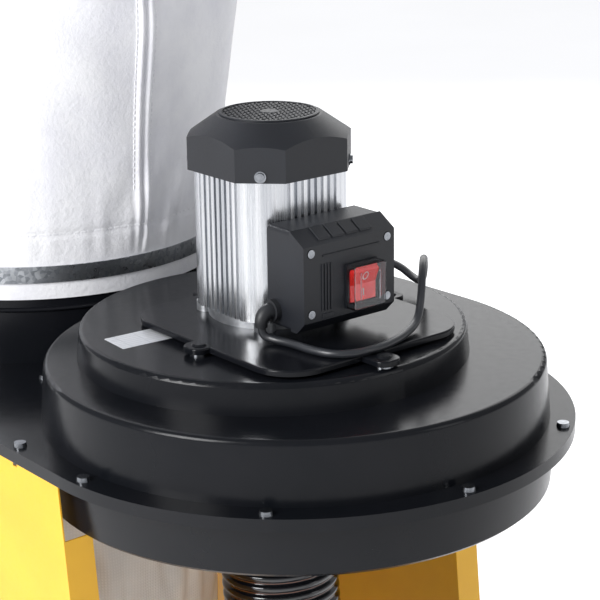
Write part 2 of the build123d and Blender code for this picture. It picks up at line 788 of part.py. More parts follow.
# The switch: a bezel and body in the lid, and the rocker that tips in it.
bezel_front = lid_front + 1.8
switch_body_depth = 24.0
rocker_axis_x = lid_front - 2.0
with BuildPart() as switch_body:
    with BuildSketch(fan_side(lid_front, switch_mid_y, switch_z)):
        RectangleRounded(rocker_width + 9, rocker_height + 8, 1.5)
    extrude(amount=bezel_front - lid_front)
    with BuildSketch(fan_side(lid_front, switch_mid_y, switch_z)):
        Rectangle(rocker_width + 3.4, rocker_height + 3.4)
    extrude(amount=-switch_body_depth)
    with BuildSketch(fan_side(bezel_front, switch_mid_y, switch_z)):
        Rectangle(rocker_width + 0.8, rocker_height + 0.8)
    extrude(amount=-(switch_body_depth - 8), mode=Mode.SUBTRACT)
    with BuildSketch(Plane(origin=(rocker_axis_x, switch_mid_y, switch_z), z_dir=(0, 1, 0))):
        Circle(1.5)
    extrude(amount=(rocker_width + 1) / 2, both=True)
save(switch_body.part, "switch_body")

# A half-width wedge: the face is a shallow V, so that one half stands proud.
half_throw = math.radians(rocker_throw / 2)
rocker_half = rocker_height / 2 - 1.2
face_slope = 2 * math.tan(half_throw)
rocker_nose = 2.2  # cut off the proud corner, so that it clears the bezel when it tips in
crown = 4.2
with BuildPart() as switch_rocker:
    with BuildSketch(upright(rocker_axis_x, switch_mid_y)):
        with Locations((0, switch_z)):
            Polygon(
                (-3.6, 0),
                (crown - 2.0, -rocker_half),
                (crown, -rocker_half),
                (crown, 0),
                (crown + face_slope * (rocker_half - rocker_nose), rocker_half - rocker_nose),
                (crown + face_slope * rocker_half - 1.5 * rocker_nose, rocker_half),
                (crown + face_slope * rocker_half - 4.6, rocker_half),
                align=None,
            )
    extrude(amount=rocker_width / 2, both=True)
    with BuildSketch(Plane(origin=(rocker_axis_x, switch_mid_y, switch_z), z_dir=(0, 1, 0))):
        Circle(1.5 + running_fit)
    extrude(amount=rocker_width, both=True, mode=Mode.SUBTRACT)
save(switch_rocker.part, "switch_rocker")

cover_front = bezel_front + 10.5
with BuildPart() as switch_clear_cover:
    cover_plane = fan_side(bezel_front, switch_mid_y, switch_z)
    with BuildSketch(cover_plane):
        RectangleRounded(rocker_width + 8, rocker_height + 7.4, 2)
    extrude(amount=cover_front - bezel_front)
    fillet(switch_clear_cover.faces().sort_by(Axis.X)[-1].edges(), 1.5)
    with BuildSketch(cover_plane):
        RectangleRounded(rocker_width + 6, rocker_height + 5.4, 1.5)
    extrude(amount=cover_front - bezel_front - 1, mode=Mode.SUBTRACT)
save(switch_clear_cover.part, "switch_clear_cover")

with BuildPart() as run_capacitor:
    with BuildSketch(
        Plane(
            origin=(box_back + box_wall + capacitor_radius + clearance, motor_y - 35, box_ceiling - 20),
            z_dir=(0, 1, 0),
        )
    ):
        Circle(capacitor_radius)
    extrude(amount=70)
    fillet(run_capacitor.edges().group_by(Axis.Y)[-1], 2)
save(run_capacitor.part, "run_capacitor")

with BuildPart() as terminal_block:
    with BuildSketch(level(box_floor + box_wall, (box_back + box_wall + 10, motor_y - 22))):
        Rectangle(18, 36)
    extrude(amount=14)
    with BuildSketch(level(box_floor + box_wall + 14, (box_back + box_wall + 10, motor_y - 22))):
        with GridLocations(9, 9, 2, 4):
            Circle(2.2)
    extrude(amount=-6, mode=Mode.SUBTRACT)
save(terminal_block.part, "terminal_block")

# ---------------------------------------------------------------- cord gland, cord, coil, plug
cord_radius = cord_diameter / 2
gland_foot = (motor_x + gland_x, motor_y - box_half_width, dome_top + gland_height)
gland_turn = Vector(gland_foot) + Vector(0, -14.5, 0)
gland_end = gland_turn + Vector(0, 0, -12.0)
with BuildPart() as cord_gland:
    with BuildSketch(Plane(origin=gland_foot, z_dir=(0, -1, 0))):
        Circle(9.5)
    extrude(amount=5)
    with BuildSketch(Plane(origin=gland_foot, z_dir=(0, 1, 0))):
        Circle(5.8)
    extrude(amount=box_wall + 2)
    sleeve_start = Vector(gland_foot) + Vector(0, -4, 0)
    with BuildLine():
        gland_path = FilletPolyline(sleeve_start, gland_turn, gland_end, radius=8.5)
    with BuildSketch(Plane(origin=gland_path @ 0, z_dir=gland_path % 0)):
        Circle(7.2)
    with BuildSketch(Plane(origin=gland_path @ 1, z_dir=gland_path % 1)):
        Circle(5.2)
    sweep(path=gland_path, multisection=True)
save(cord_gland.part, "cord_gland")

# Cord route from the gland over the motor plate, up in the springy loop beside the switch box
# and round the back of the motor: from the motor axis and the dome's top.
cord_route = [
    (66, -64, 21.9),
    (66, -64, 14.8),
    (75, -58, 11.7),
    (92, -53, 11.7),
    (115, -52, 11.7),
    (136, -46, 11.7),
    (147, -30, 11.7),
    (149, -8, 11.7),
    (144, 16, 11.7),
    (134, 40, 12),
    (123, 61, 15),
    (115, 72, 33),
    (103, 84, 48),
    (86, 101, 54),
    (68, 119, 47),
    (53, 133, 29),
    (40, 142, 14),
    (22, 148, 13),
    (0, 151, 19),
    (-24, 150, 20),
    (-48, 147, 12),
    (-72, 145, 5),
    (-96, 144, 4.2),
    (-117, 140, 0),
    (-133, 132, -12),
    (-150, 126.5, -19.3),
]


def hand_route(points, origin):
    """Route points in the model's frame."""
    return [Vector(origin[0] + x, origin[1] + y, origin[2] + z) for x, y, z in points]


def route_radii(points):
    """The largest arc that each corner's two runs allow."""
    radii = []
    for before, corner, after in zip(points, points[1:], points[2:]):
        run_in, run_out = corner - before, after - corner
        half_turn = math.radians(run_in.get_angle(run_out)) / 2
        radii.append(0.45 * min(run_in.length, run_out.length) / math.tan(half_turn))
    return radii


def tube_along(points, radius, bore=0.0):
    """Round tube on straight runs and tangent arcs, and its path's length."""
    with BuildPart() as tube:
        with BuildLine():
            path = FilletPolyline(*points, radius=route_radii(points))
        with BuildSketch(Plane(origin=path @ 0, z_dir=path % 0)):
            Circle(radius)
            if bore:
                Circle(bore, mode=Mode.SUBTRACT)
        sweep(path=path)
    expected = math.pi * (radius**2 - bore**2) * path.length
    print("tube", round(path.length, 1), "mm, volume ratio", round(tube.part.volume / expected, 4))
    print("radii in diameters", [round(r / (2 * radius), 1) for r in route_radii(points)])
    return tube.part


cord_points = hand_route(cord_route, (motor_x, motor_y, dome_top))
save(tube_along(cord_points, cord_radius), "mains_cord")

coil_bottom = scroll_top
with BuildPart() as mains_cord_coil:
    with BuildSketch(level(coil_bottom + 0.2, (motor_x + coil_x, motor_y + coil_y))):
        Circle(coil_mid_radius + coil_width / 2)
        Circle(coil_mid_radius - coil_width / 2, mode=Mode.SUBTRACT)
    extrude(amount=coil_height)
    fillet(mains_cord_coil.edges(), 3)
save(mains_cord_coil.part, "mains_cord_coil")

plug_axis_z = coil_bottom + 0.2 + coil_height + plug_radius + 0.1
plug_start = (motor_x + coil_x - 14, motor_y + coil_y - 4, plug_axis_z)
plug_direction = Vector(0.2, 1, 0).normalized()
with BuildPart() as mains_plug:
    with BuildSketch(Plane(origin=plug_start, z_dir=plug_direction)):
        Circle(plug_radius)
    extrude(amount=plug_length)
    fillet(mains_plug.edges().group_by(Axis.Y)[0], 2)
    tail_start = Vector(plug_start)
    with BuildSketch(Plane(origin=tail_start, z_dir=plug_direction * -1)):
        Circle(9.0)
    extrude(amount=14, taper=12)
save(mains_plug.part, "mains_plug")

pin_base = Vector(plug_start) + plug_direction * plug_length
with BuildPart() as mains_plug_pins:
    with BuildSketch(Plane(origin=pin_base, x_dir=(1, -0.2, 0), z_dir=plug_direction)):
        with GridLocations(19, 1, 2, 1):
            Circle(2.4)
    extrude(amount=19)
save(mains_plug_pins.part, "mains_plug_pins")

# ---------------------------------------------------------------- rating label
with BuildPart() as rating_label:
    label_plane = Plane(
        origin=(motor_x - 31.5, motor_y - 119, dome_top), x_dir=(0.07, 1, 0), z_dir=(0, 0, 1)
    )
    with BuildSketch(label_plane):
        RectangleRounded(55, 33, 1)
    extrude(amount=0.3)
save(rating_label.part, "rating_label")

# ---------------------------------------------------------------- inlet and hose
spigot_radius = inlet_radius + spigot_wall
guard_z = pan_bottom - guard_depth
with BuildPart() as inlet_spigot:
    with BuildSketch(level(pan_bottom, motor)):
        Circle(spigot_flange_radius)
    extrude(amount=-2)
    with BuildSketch(level(pan_bottom, motor)):
        Circle(spigot_radius)
    extrude(amount=-spigot_length)
    with BuildSketch(level(pan_bottom, motor)):
        Circle(inlet_radius)
    extrude(amount=-spigot_length, mode=Mode.SUBTRACT)
    # the crossed bars that keep hands and offcuts out of the fan
    for direction in ((1, 0, 0), (0, 1, 0)):
        with BuildSketch(Plane(origin=(motor_x, motor_y, guard_z), z_dir=direction)):
            Circle(2.0)
        extrude(amount=inlet_radius + spigot_wall / 2, both=True)
save(inlet_spigot.part, "inlet_spigot")

with BuildPart() as spigot_screws:
    with BuildSketch(level(pan_bottom - 2, motor)):
        with PolarLocations(spigot_flange_radius - 7, 6, start_angle=15):
            Circle(4.0)
    extrude(amount=-2.5)
save(spigot_screws.part, "spigot_screws")

# Hose route: out of the inlet, down and over to the floor beside the machine, from the motor
# axis and the floor.
hose_top = pan_bottom - 6.0
hose_rest = hose_radius + 0.3
hose_route = [
    (0, 0, hose_top),
    (0, 0, hose_top - 244),
    (143, 20, hose_top - 495),
    (387, 85, hose_rest),
    (650, 232, hose_rest),
    (850, 452, hose_rest),
]
hose_points = hand_route(hose_route, (motor_x, motor_y, 0))
save(tube_along(hose_points, hose_radius, hose_bore_radius), "inlet_hose")

with BuildPart() as hose_clamp:
    clamp_bottom = hose_top - 22
    with BuildSketch(level(clamp_bottom, motor)):
        Circle(hose_radius + 1.4)
        Circle(hose_radius + 0.1, mode=Mode.SUBTRACT)
    extrude(amount=11)
    with BuildSketch(level(clamp_bottom + 0.5, (motor_x + hose_radius + 5, motor_y))):
        Rectangle(8, 20)
    extrude(amount=10)
save(hose_clamp.part, "hose_clamp")

hose_end = hose_points[-1]
hose_heading = (hose_points[-1] - hose_points[-2]).normalized()
with BuildPart() as hose_cuff:
    cuff_plane = Plane(origin=hose_end, z_dir=hose_heading)
    with BuildSketch(cuff_plane):
        Circle(hose_radius)
    extrude(amount=8)
    with BuildSketch(Plane(origin=hose_end + hose_heading * 8, z_dir=hose_heading)):
        Circle(hose_bore_radius)
    extrude(amount=cuff_length - 8, taper=0.5)
    with BuildSketch(cuff_plane):
        Circle(hose_bore_radius - cuff_wall - 0.7)
    extrude(amount=cuff_length, mode=Mode.SUBTRACT)
save(hose_cuff.part, "hose_cuff")

# ---------------------------------------------------------------- filter bag
bag_inner = collar_radius + clearance
bag_hem = dome_top - 17.0


def bag_profile(inset):
    """Half profile of the filter bag: hem, clamped neck, flare, full width, rounded top."""
    neck = bag_inner + bag_wall - inset
    top = bag_top - inset
    return [
        (neck, bag_hem),
        (neck, bag_hem + bag_clamp_height),
        (neck + 10, bag_hem + 152),
        (bag_full_radius - 3 - inset, bag_hem + 254),
        (bag_full_radius - inset, bag_hem + 400),
        (bag_full_radius - 2 - inset, top - 60),
        (bag_full_radius - 30 - inset, top - 12),
        (60, top),
        (0, top),
    ]


with BuildPart() as filter_bag:
    for inset, mode in ((0, Mode.ADD), (bag_wall, Mode.SUBTRACT)):
        with BuildSketch(upright(*collar)):
            Polygon(*bag_profile(inset), (0, bag_hem), align=None)
        revolve(axis=Axis((collar[0], collar[1], 0), (0, 0, 1)), mode=mode)
    with BuildSketch(Plane(origin=(collar[0], collar[1] + 6, bag_top), x_dir=(1, 0, 0), z_dir=(0, -1, 0))):
        with Locations((0, 12)):
            RectangleRounded(12, 27, 5.5)
            Circle(support_rod_radius + clearance, mode=Mode.SUBTRACT)
    extrude(amount=12)
save(filter_bag.part, "filter_bag")

# ---------------------------------------------------------------- chip bag
chip_bag_hem = rim_bottom - 6.0
chip_neck_radius = collar_radius - 0.5 + bead_radius + clearance  # slips over the bead


def chip_bag_profile(inset):
    """Half profile of the chip bag: clamped hem, straight side and rounded foot."""
    neck = chip_neck_radius + chip_bag_wall - inset
    foot = chip_bag_bottom + inset
    return [
        (neck, chip_bag_hem),
        (neck, chip_bag_hem - 54),
        (chip_bag_foot_radius + 6 - inset, chip_bag_hem - 160),
        (chip_bag_foot_radius - inset, foot + 90),
        (chip_bag_foot_radius - 10 - inset, foot + 34),
        (chip_bag_foot_radius - 44 - inset, foot + 5),
        (chip_bag_foot_radius - 80, foot),
        (0, foot),
        (0, chip_bag_hem),
    ]


with BuildPart() as chip_bag:
    for inset, mode in ((0, Mode.ADD), (chip_bag_wall, Mode.SUBTRACT)):
        with BuildSketch(upright(*collar)):
            Polygon(*chip_bag_profile(inset), align=None)
        revolve(axis=Axis((collar[0], collar[1], 0), (0, 0, 1)), mode=mode)
save(chip_bag.part, "chip_bag")

# ---------------------------------------------------------------- bag straps
latch_pivot_radius = 1.5


def bag_strap(name, inner_radius, bottom, facing):
    """Steel band round a bag's hem, its latch bracket, and the over-centre lever that closes it."""
    outer_radius = inner_radius + strap_thickness
    out = (math.cos(math.radians(facing)), math.sin(math.radians(facing)), 0)
    mid_z = bottom + strap_width / 2
    with BuildPart() as band:
        with BuildSketch(level(bottom, collar)):
            Circle(outer_radius)
            Circle(inner_radius, mode=Mode.SUBTRACT)
        extrude(amount=strap_width)
        ear_base = Vector(collar[0], collar[1], mid_z) + Vector(*out) * (outer_radius - 0.6)
        ear_plane = Plane(origin=ear_base, x_dir=(0, 0, 1), z_dir=out)
        with BuildSketch(ear_plane):
            with Locations((strap_width / 2 - 1, 0), (1 - strap_width / 2, 0)):
                Rectangle(2, 12)
        extrude(amount=7.6)
        pin_base = ear_base + Vector(*out) * 4.6
        with BuildSketch(level(bottom, (pin_base.X, pin_base.Y))):
            Circle(latch_pivot_radius)
        extrude(amount=strap_width)
    save(band.part, name)
    side = Vector(-out[1], out[0], 0)
    with BuildPart() as lever:
        lever_height = strap_width - 5
        start = Vector(pin_base.X, pin_base.Y, mid_z)
        middle = start + side * 30 + Vector(*out) * 0.4
        with BuildSketch(Plane(origin=middle, x_dir=side, z_dir=out)):
            Rectangle(66, lever_height)
        extrude(amount=2.0)
        with BuildSketch(level(mid_z - lever_height / 2, (start.X, start.Y))):
            Circle(latch_pivot_radius + 1.4)
        extrude(amount=lever_height)
        with BuildSketch(level(mid_z - lever_height / 2, (start.X, start.Y))):
            Circle(latch_pivot_radius + running_fit)
        extrude(amount=lever_height, mode=Mode.SUBTRACT)
    save(lever.part, name + "_lever")
    print(name, "lever pivot", tuple(round(v, 2) for v in (start.X, start.Y, start.Z)))


strap_facing = 200.0
filter_strap_radius = collar_radius + clearance + bag_wall + clearance
chip_strap_radius = chip_neck_radius + chip_bag_wall + clearance
bag_strap("filter_bag_strap", filter_strap_radius, dome_top, strap_facing)
bag_strap("chip_bag_strap", chip_strap_radius, rim_bottom - 30.0, strap_facing)

# ---------------------------------------------------------------- support rod of the filter bag
rod_x = collar[0] - bag_full_radius - support_rod_radius - 3.0
rod_top = total_height - support_rod_radius
rod_route = [
    (rod_x, collar[1], plate_top + 2.0),
    (rod_x, collar[1], rod_top),
    (collar[0] + 14, collar[1], rod_top),
    (collar[0] + 14, collar[1], bag_top + 12),
]
with BuildPart() as bag_support_rod:
    with BuildLine():
        rod_path = FilletPolyline(*rod_route[:3], radius=40)
    with BuildSketch(Plane(origin=rod_path @ 0, z_dir=rod_path % 0)):
        Circle(support_rod_radius)
    sweep(path=rod_path)
save(bag_support_rod.part, "bag_support_rod")

with BuildPart() as rod_socket:
    with BuildSketch(level(plate_top, (rod_x, collar[1]))):
        Rectangle(22, 40)
    extrude(amount=2.0)
    with BuildSketch(level(plate_top, (rod_x, collar[1]))):
        Circle(support_rod_radius + 3)
    extrude(amount=40)
    with BuildSketch(level(plate_top + 2, (rod_x, collar[1]))):
        Circle(support_rod_radius + 0.05)
    extrude(amount=40, mode=Mode.SUBTRACT)
save(rod_socket.part, "rod_socket")

# ---------------------------------------------------------------- stand
panel_top = rim_bottom
fan_edge_bottom = motor_x + panel_fan_edge + panel_fan_lean * (panel_top - panel_foot_height)
fan_edge_top = motor_x + panel_fan_edge
bag_edge_top = motor_x + panel_bag_edge
bag_edge_bottom = bag_edge_top - panel_bag_lean * (panel_top - panel_foot_height)
end_flange_top = pan_bottom - 3.0
front_face = motor_y - panel_half_spacing
rear_face = motor_y + panel_half_spacing
axle_x = bag_edge_bottom + 62
foot_x = fan_edge_bottom - 24
crossbar_places = (fan_edge_bottom - 40, axle_x + 56)
bolt_radius = 4.0


def lean_edge(edge_top, height, lean):
    """X of a panel's leaning end at a height."""
    return edge_top + lean * (panel_top - height)


def stand_panel(name, face, inward):
    """Trapezoid side panel with inward flanges at both ends, top and foot."""
    slab = Plane(origin=(0, face, 0), x_dir=(1, 0, 0), z_dir=(0, -1, 0))
    direction = -inward
    with BuildPart() as panel:
        with BuildSketch(slab):
            Polygon(
                (bag_edge_bottom, panel_foot_height),
                (fan_edge_bottom, panel_foot_height),
                (fan_edge_top, panel_top),
                (bag_edge_top, panel_top),
                align=None,
            )
        extrude(amount=direction * panel_thickness)
        for edge_top, sign, lean in (
            (fan_edge_top, 1, panel_fan_lean), (bag_edge_top, -1, -panel_bag_lean)
        ):
            low = lean_edge(edge_top, panel_foot_height, lean)
            high = lean_edge(edge_top, end_flange_top, lean)
            with BuildSketch(slab):
                Polygon(
                    (low, panel_foot_height),
                    (high, end_flange_top),
                    (high - sign * panel_thickness, end_flange_top),
                    (low - sign * panel_thickness, panel_foot_height),
                    align=None,
                )
            extrude(amount=direction * panel_end_flange)
        with BuildSketch(slab):
            with Locations(((bag_edge_top + motor_x - 140) / 2, panel_top - panel_thickness / 2)):
                Rectangle(motor_x - 140 - bag_edge_top - 40, panel_thickness)
        extrude(amount=direction * panel_top_flange)
        with BuildSketch(slab):
            Polygon(
                (axle_x + wheel_radius + 8, panel_foot_height),
                (fan_edge_bottom, panel_foot_height),
                (fan_edge_bottom, panel_foot_height + panel_thickness),
                (axle_x + wheel_radius + 8, panel_foot_height + panel_thickness),
                align=None,
            )
        extrude(amount=direction * panel_end_flange)
        with BuildSketch(slab):
            with Locations((axle_x, wheel_radius)):
                Circle(axle_radius + 0.05)
            with Locations(*[(x, crossbar_height) for x in crossbar_places]):
                Circle(bolt_radius + clearance)
        extrude(amount=direction * panel_thickness, mode=Mode.SUBTRACT)
        with BuildSketch(level(panel_foot_height)):
            with Locations((foot_x, face + inward * panel_end_flange / 2)):
                Circle(bolt_radius)
        extrude(amount=panel_thickness, mode=Mode.SUBTRACT)
        # room for the pan, and for the screws and nuts of the flange above
        with BuildSketch(level(pan_bottom - 1, scroll)):
            Circle(pan_radius + 2)
        extrude(amount=pan_depth + 2, mode=Mode.SUBTRACT)
        with BuildSketch(level(panel_top - 12)):
            with Locations(*flange_screw_places):
                Circle(7.0)
        extrude(amount=12, mode=Mode.SUBTRACT)
    save(panel.part, name)


stand_panel("front_panel", front_face, 1)
stand_panel("rear_panel", rear_face, -1)

inner_front = front_face + panel_thickness
inner_rear = rear_face - panel_thickness
for bar_name, bar_x in zip(("inlet_crossbar", "bag_crossbar"), crossbar_places):
    with BuildPart() as crossbar:
        with BuildSketch(
            Plane(origin=(bar_x, inner_front, crossbar_height), x_dir=(1, 0, 0), z_dir=(0, 1, 0))
        ):
            RectangleRounded(crossbar_size, crossbar_size, 3)
            RectangleRounded(
                crossbar_size - 2 * crossbar_wall, crossbar_size - 2 * crossbar_wall, 1.5,
                mode=Mode.SUBTRACT,
            )
        extrude(amount=inner_rear - inner_front)
        for end_y, toward in ((inner_front, 1), (inner_rear, -1)):
            with BuildSketch(
                Plane(origin=(bar_x, end_y, crossbar_height), x_dir=(1, 0, 0), z_dir=(0, toward, 0))
            ):
                Rectangle(crossbar_size - 2, crossbar_size - 2)
                Circle(bolt_radius + 0.05, mode=Mode.SUBTRACT)
            extrude(amount=4)
    save(crossbar.part, bar_name)

with BuildPart() as stand_bolts:
    for face, toward in ((front_face, 1), (rear_face, -1)):
        for bar_x in crossbar_places:
            head_plane = Plane(
                origin=(bar_x, face, crossbar_height), x_dir=(1, 0, 0), z_dir=(0, -toward, 0)
            )
            with BuildSketch(head_plane):
                Circle(7.5)
            extrude(amount=3.4, taper=30)
            with BuildSketch(head_plane):
                Circle(bolt_radius)
            extrude(amount=-(panel_thickness + 12))
save(stand_bolts.part, "stand_bolts")

# ---------------------------------------------------------------- wheels, axle and feet
head_height = 3.2
with BuildPart() as axle:
    with BuildSketch(Plane(origin=(axle_x, front_face, wheel_radius), z_dir=(0, 1, 0))):
        Circle(axle_radius)
    extrude(amount=rear_face - front_face)
    for end_y, toward in ((front_face, -1), (rear_face, 1)):
        with BuildSketch(Plane(origin=(axle_x, end_y, wheel_radius), z_dir=(0, toward, 0))):
            Circle(10.0)
        extrude(amount=head_height, taper=20)
save(axle.part, "axle")

wheel_side_gap = 5.0
hub_width = wheel_width + 6
for wheel_name, hub_y in (
    ("front_wheel", inner_front + wheel_side_gap),
    ("rear_wheel", inner_rear - wheel_side_gap - hub_width),
):
    hub_plane = Plane(origin=(axle_x, hub_y, wheel_radius), z_dir=(0, 1, 0))
    rim_plane = Plane(origin=(axle_x, hub_y + 3, wheel_radius), z_dir=(0, 1, 0))
    with BuildPart() as wheel:
        with BuildSketch(rim_plane):
            Circle(wheel_radius)
            Circle(wheel_radius - 14, mode=Mode.SUBTRACT)
        extrude(amount=wheel_width)
        tread_edges = wheel.edges().filter_by(GeomType.CIRCLE).sort_by(SortBy.RADIUS)[-2:]
        fillet(tread_edges, 3)
        with BuildSketch(Plane(origin=(axle_x, hub_y + 9, wheel_radius), z_dir=(0, 1, 0))):
            Circle(wheel_radius - 10)
        extrude(amount=wheel_width - 12)
        with BuildSketch(hub_plane):
            Circle(14.0)
        extrude(amount=hub_width)
        with BuildSketch(hub_plane):
            Circle(axle_radius + running_fit)
        extrude(amount=hub_width, mode=Mode.SUBTRACT)
    save(wheel.part, wheel_name)

with BuildPart() as wheel_collars:
    for ring_y in (inner_front + 0.3, inner_front + wheel_side_gap + hub_width + 0.5,
                   inner_rear - 0.3 - 4.2, inner_rear - wheel_side_gap - hub_width - 0.5 - 4.2):
        with BuildSketch(Plane(origin=(axle_x, ring_y, wheel_radius), z_dir=(0, 1, 0))):
            Circle(11.0)
            Circle(axle_radius, mode=Mode.SUBTRACT)
        extrude(amount=4.2)
save(wheel_collars.part, "wheel_collars")

with BuildPart() as rubber_feet:
    foot_places = [
        (foot_x, front_face + panel_end_flange / 2), (foot_x, rear_face - panel_end_flange / 2)
    ]
    with BuildSketch(level(0)):
        with Locations(*foot_places):
            Circle(foot_radius)
    extrude(amount=panel_foot_height)
    fillet(rubber_feet.edges().group_by(Axis.Z)[0], 2)
    with BuildSketch(level(panel_foot_height)):
        with Locations(*foot_places):
            Circle(bolt_radius)
    extrude(amount=panel_thickness + 6)
save(rubber_feet.part, "rubber_feet")

print("motor", tuple(round(v, 2) for v in motor), "collar", tuple(round(v, 2) for v in collar))
print("rocker pivot", round(rocker_axis_x, 2), round(switch_mid_y, 2), switch_z)
print("axle", round(axle_x, 2), front_face, rear_face, "foot x", round(foot_x, 2))
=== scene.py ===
"""Looks of a workshop dust collector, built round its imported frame.

The hard parts keep their own shape and get their finishes here. The bags, the hose, the mains
cord and the small trim are modelled in this file, in metres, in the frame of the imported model.
"""

import json
import logging
import math
from dataclasses import dataclass, field
from enum import Enum
from typing import Any

import bpy
import numpy as np
from mathutils import Matrix, Vector


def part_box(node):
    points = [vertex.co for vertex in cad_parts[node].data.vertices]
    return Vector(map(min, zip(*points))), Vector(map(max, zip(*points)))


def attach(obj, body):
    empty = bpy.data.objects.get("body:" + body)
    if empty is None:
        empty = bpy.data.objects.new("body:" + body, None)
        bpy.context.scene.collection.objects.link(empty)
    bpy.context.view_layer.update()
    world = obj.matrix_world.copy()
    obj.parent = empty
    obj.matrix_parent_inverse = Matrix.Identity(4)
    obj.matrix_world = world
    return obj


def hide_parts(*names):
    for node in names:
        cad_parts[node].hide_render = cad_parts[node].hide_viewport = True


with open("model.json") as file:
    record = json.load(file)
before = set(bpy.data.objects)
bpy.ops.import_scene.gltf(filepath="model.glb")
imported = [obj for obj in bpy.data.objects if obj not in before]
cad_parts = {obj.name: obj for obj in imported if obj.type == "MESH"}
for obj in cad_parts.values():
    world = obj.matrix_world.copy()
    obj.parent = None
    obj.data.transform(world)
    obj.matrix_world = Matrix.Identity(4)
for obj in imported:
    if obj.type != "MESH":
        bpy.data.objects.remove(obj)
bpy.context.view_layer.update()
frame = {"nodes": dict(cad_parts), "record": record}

LOG = logging.getLogger("dust_collector")
MM = 0.001
Array = np.ndarray
Point = tuple[float, float, float]
Piece = bpy.types.Object
Material = bpy.types.Material
Tree = bpy.types.NodeTree
Node = bpy.types.Node
Socket = bpy.types.NodeSocket


# ------------------------------------------------------------------ places read off the frame
def box_centre(node: str) -> Vector:
    """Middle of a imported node's box."""
    low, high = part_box(node)
    return (low + high) / 2


MOTOR = box_centre("motor_housing")
COLLAR = box_centre("chip_bag")
DOME_TOP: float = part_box("rating_label")[0].z
SCROLL_TOP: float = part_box("mains_cord_coil")[0].z


# ------------------------------------------------------------------ small helpers
def linear(colour: str) -> tuple[float, float, float, float]:
    """Turn an sRGB hex value into the linear colour that a shader takes.

    Args:
        colour: the value as "#RRGGBB".

    Returns:
        Red, green, blue and full alpha.
    """
    parts = np.array([int(colour[i : i + 2], 16) for i in (1, 3, 5)]) / 255.0
    low = parts / 12.92
    high = ((parts + 0.055) / 1.055) ** 2.4
    red, green, blue = np.where(parts <= 0.04045, low, high)
    return float(red), float(green), float(blue), 1.0


def add(tree: Tree, kind: str, settings: dict[Any, Any], links: dict[Any, Any]) -> Node:
    """Add a node with its settings and its incoming links.

    Args:
        tree: the node tree.
        kind: the node's type.
        settings: socket names or numbers, or properties of the node, with their values.
        links: socket names or numbers with the output socket that feeds each.

    Returns:
        The new node.
    """
    node = tree.nodes.new(kind)
    for key, value in settings.items():
        if isinstance(key, str) and hasattr(node, key):
            setattr(node, key, value)
        else:
            node.inputs[key].default_value = value
    for key, source in links.items():
        tree.links.new(source, node.inputs[key])
    return node


def reckon(
    tree: Tree, operation: str, first: Socket, second: float | None = None, third: Socket | None = None
) -> Socket:
    """Add an arithmetic node and give its output.

    Args:
        tree: the node tree.
        operation: the node's operation, such as "MULTIPLY".
        first: the socket that it works on.
        second: the number that it works with, or none.
        third: the socket that is added at the end, or none.

    Returns:
        The output socket.
    """
    settings = {"operation": operation} | ({} if second is None else {1: second})
    links = {0: first} | ({} if third is None else {2: third})
    return add(tree, "ShaderNodeMath", settings, links).outputs["Value"]


def link_object(name: str, data: bpy.types.ID) -> Piece:
    """Put data into the scene as an object at the origin."""
    made = bpy.data.objects.new(name, data)
    bpy.context.scene.collection.objects.link(made)
    return made


def grid_faces(rows: int, columns: int, wrap_rows: bool, wrap_columns: bool) -> Array:
    """Quads of a grid of rows by columns points, in the order that turns them outwards.

    Face (i, j) joins points (i, j), (i, j + 1), (i + 1, j + 1) and (i + 1, j), with the last row
    or column joined to the first where it wraps.
    """
    i = np.arange(rows if wrap_rows else rows - 1)
    j = np.arange(columns if wrap_columns else columns - 1)
    ii, jj = np.meshgrid(i, j, indexing="ij")
    i2, j2 = (ii + 1) % rows, (jj + 1) % columns
    quads = np.stack([ii * columns + jj, ii * columns + j2, i2 * columns + j2, i2 * columns + jj], axis=-1)
    return quads.reshape(-1, 4)


def grid_mesh(
    name: str,
    points: Array,
    wrap_rows: bool = False,
    wrap_columns: bool = False,
    close_ends: tuple[bool, bool] = (False, False),
    uv: Array | None = None,
) -> Piece:
    """Make an object from a grid of points.

    Args:
        name: the piece's name.
        points: rows by columns by three coordinates, in metres.
        wrap_rows: whether the last row joins the first.
        wrap_columns: whether the last column joins the first.
        close_ends: whether the first and the last row are closed by a fan to their middle.
        uv: rows by columns by two texture coordinates, or none.

    Returns:
        The smooth-shaded object at the origin.
    """
    rows, columns = points.shape[:2]
    vertices = points.reshape(-1, 3)
    faces = grid_faces(rows, columns, wrap_rows, wrap_columns).tolist()
    for closed, row in zip(close_ends, (0, rows - 1)):
        if closed:
            middle = len(vertices)
            vertices = np.vstack([vertices, points[row].mean(axis=0)])
            ring = [row * columns + k for k in range(columns)]
            pairs = list(zip(ring, ring[1:] + ring[:1]))
            faces += [[middle, b, a] if row == 0 else [middle, a, b] for a, b in pairs]
    mesh = bpy.data.meshes.new(name)
    mesh.from_pydata(vertices.tolist(), [], faces)
    mesh.polygons.foreach_set("use_smooth", np.ones(len(mesh.polygons), bool))
    if uv is not None:
        layer = mesh.uv_layers.new(name="surface")
        corners = np.empty(len(mesh.loops), np.int32)
        mesh.loops.foreach_get("vertex_index", corners)
        flat = np.vstack([uv.reshape(-1, 2), np.zeros((len(vertices) - rows * columns, 2))])[corners]
        if wrap_columns:
            # the faces that close the ring carry on past one turn instead of running back
            starts = np.empty(len(mesh.polygons), np.int32)
            totals = np.empty(len(mesh.polygons), np.int32)
            mesh.polygons.foreach_get("loop_start", starts)
            mesh.polygons.foreach_get("loop_total", totals)
            polygon = np.repeat(np.arange(len(starts)), totals)
            highest = np.maximum.reduceat(flat[:, 1], starts)
            flat[:, 1] += np.where(highest[polygon] - flat[:, 1] > 0.5, 1.0, 0.0)
        layer.uv.foreach_set("vector", flat.astype(np.float32).ravel())
    mesh.update()
    return link_object(name, mesh)


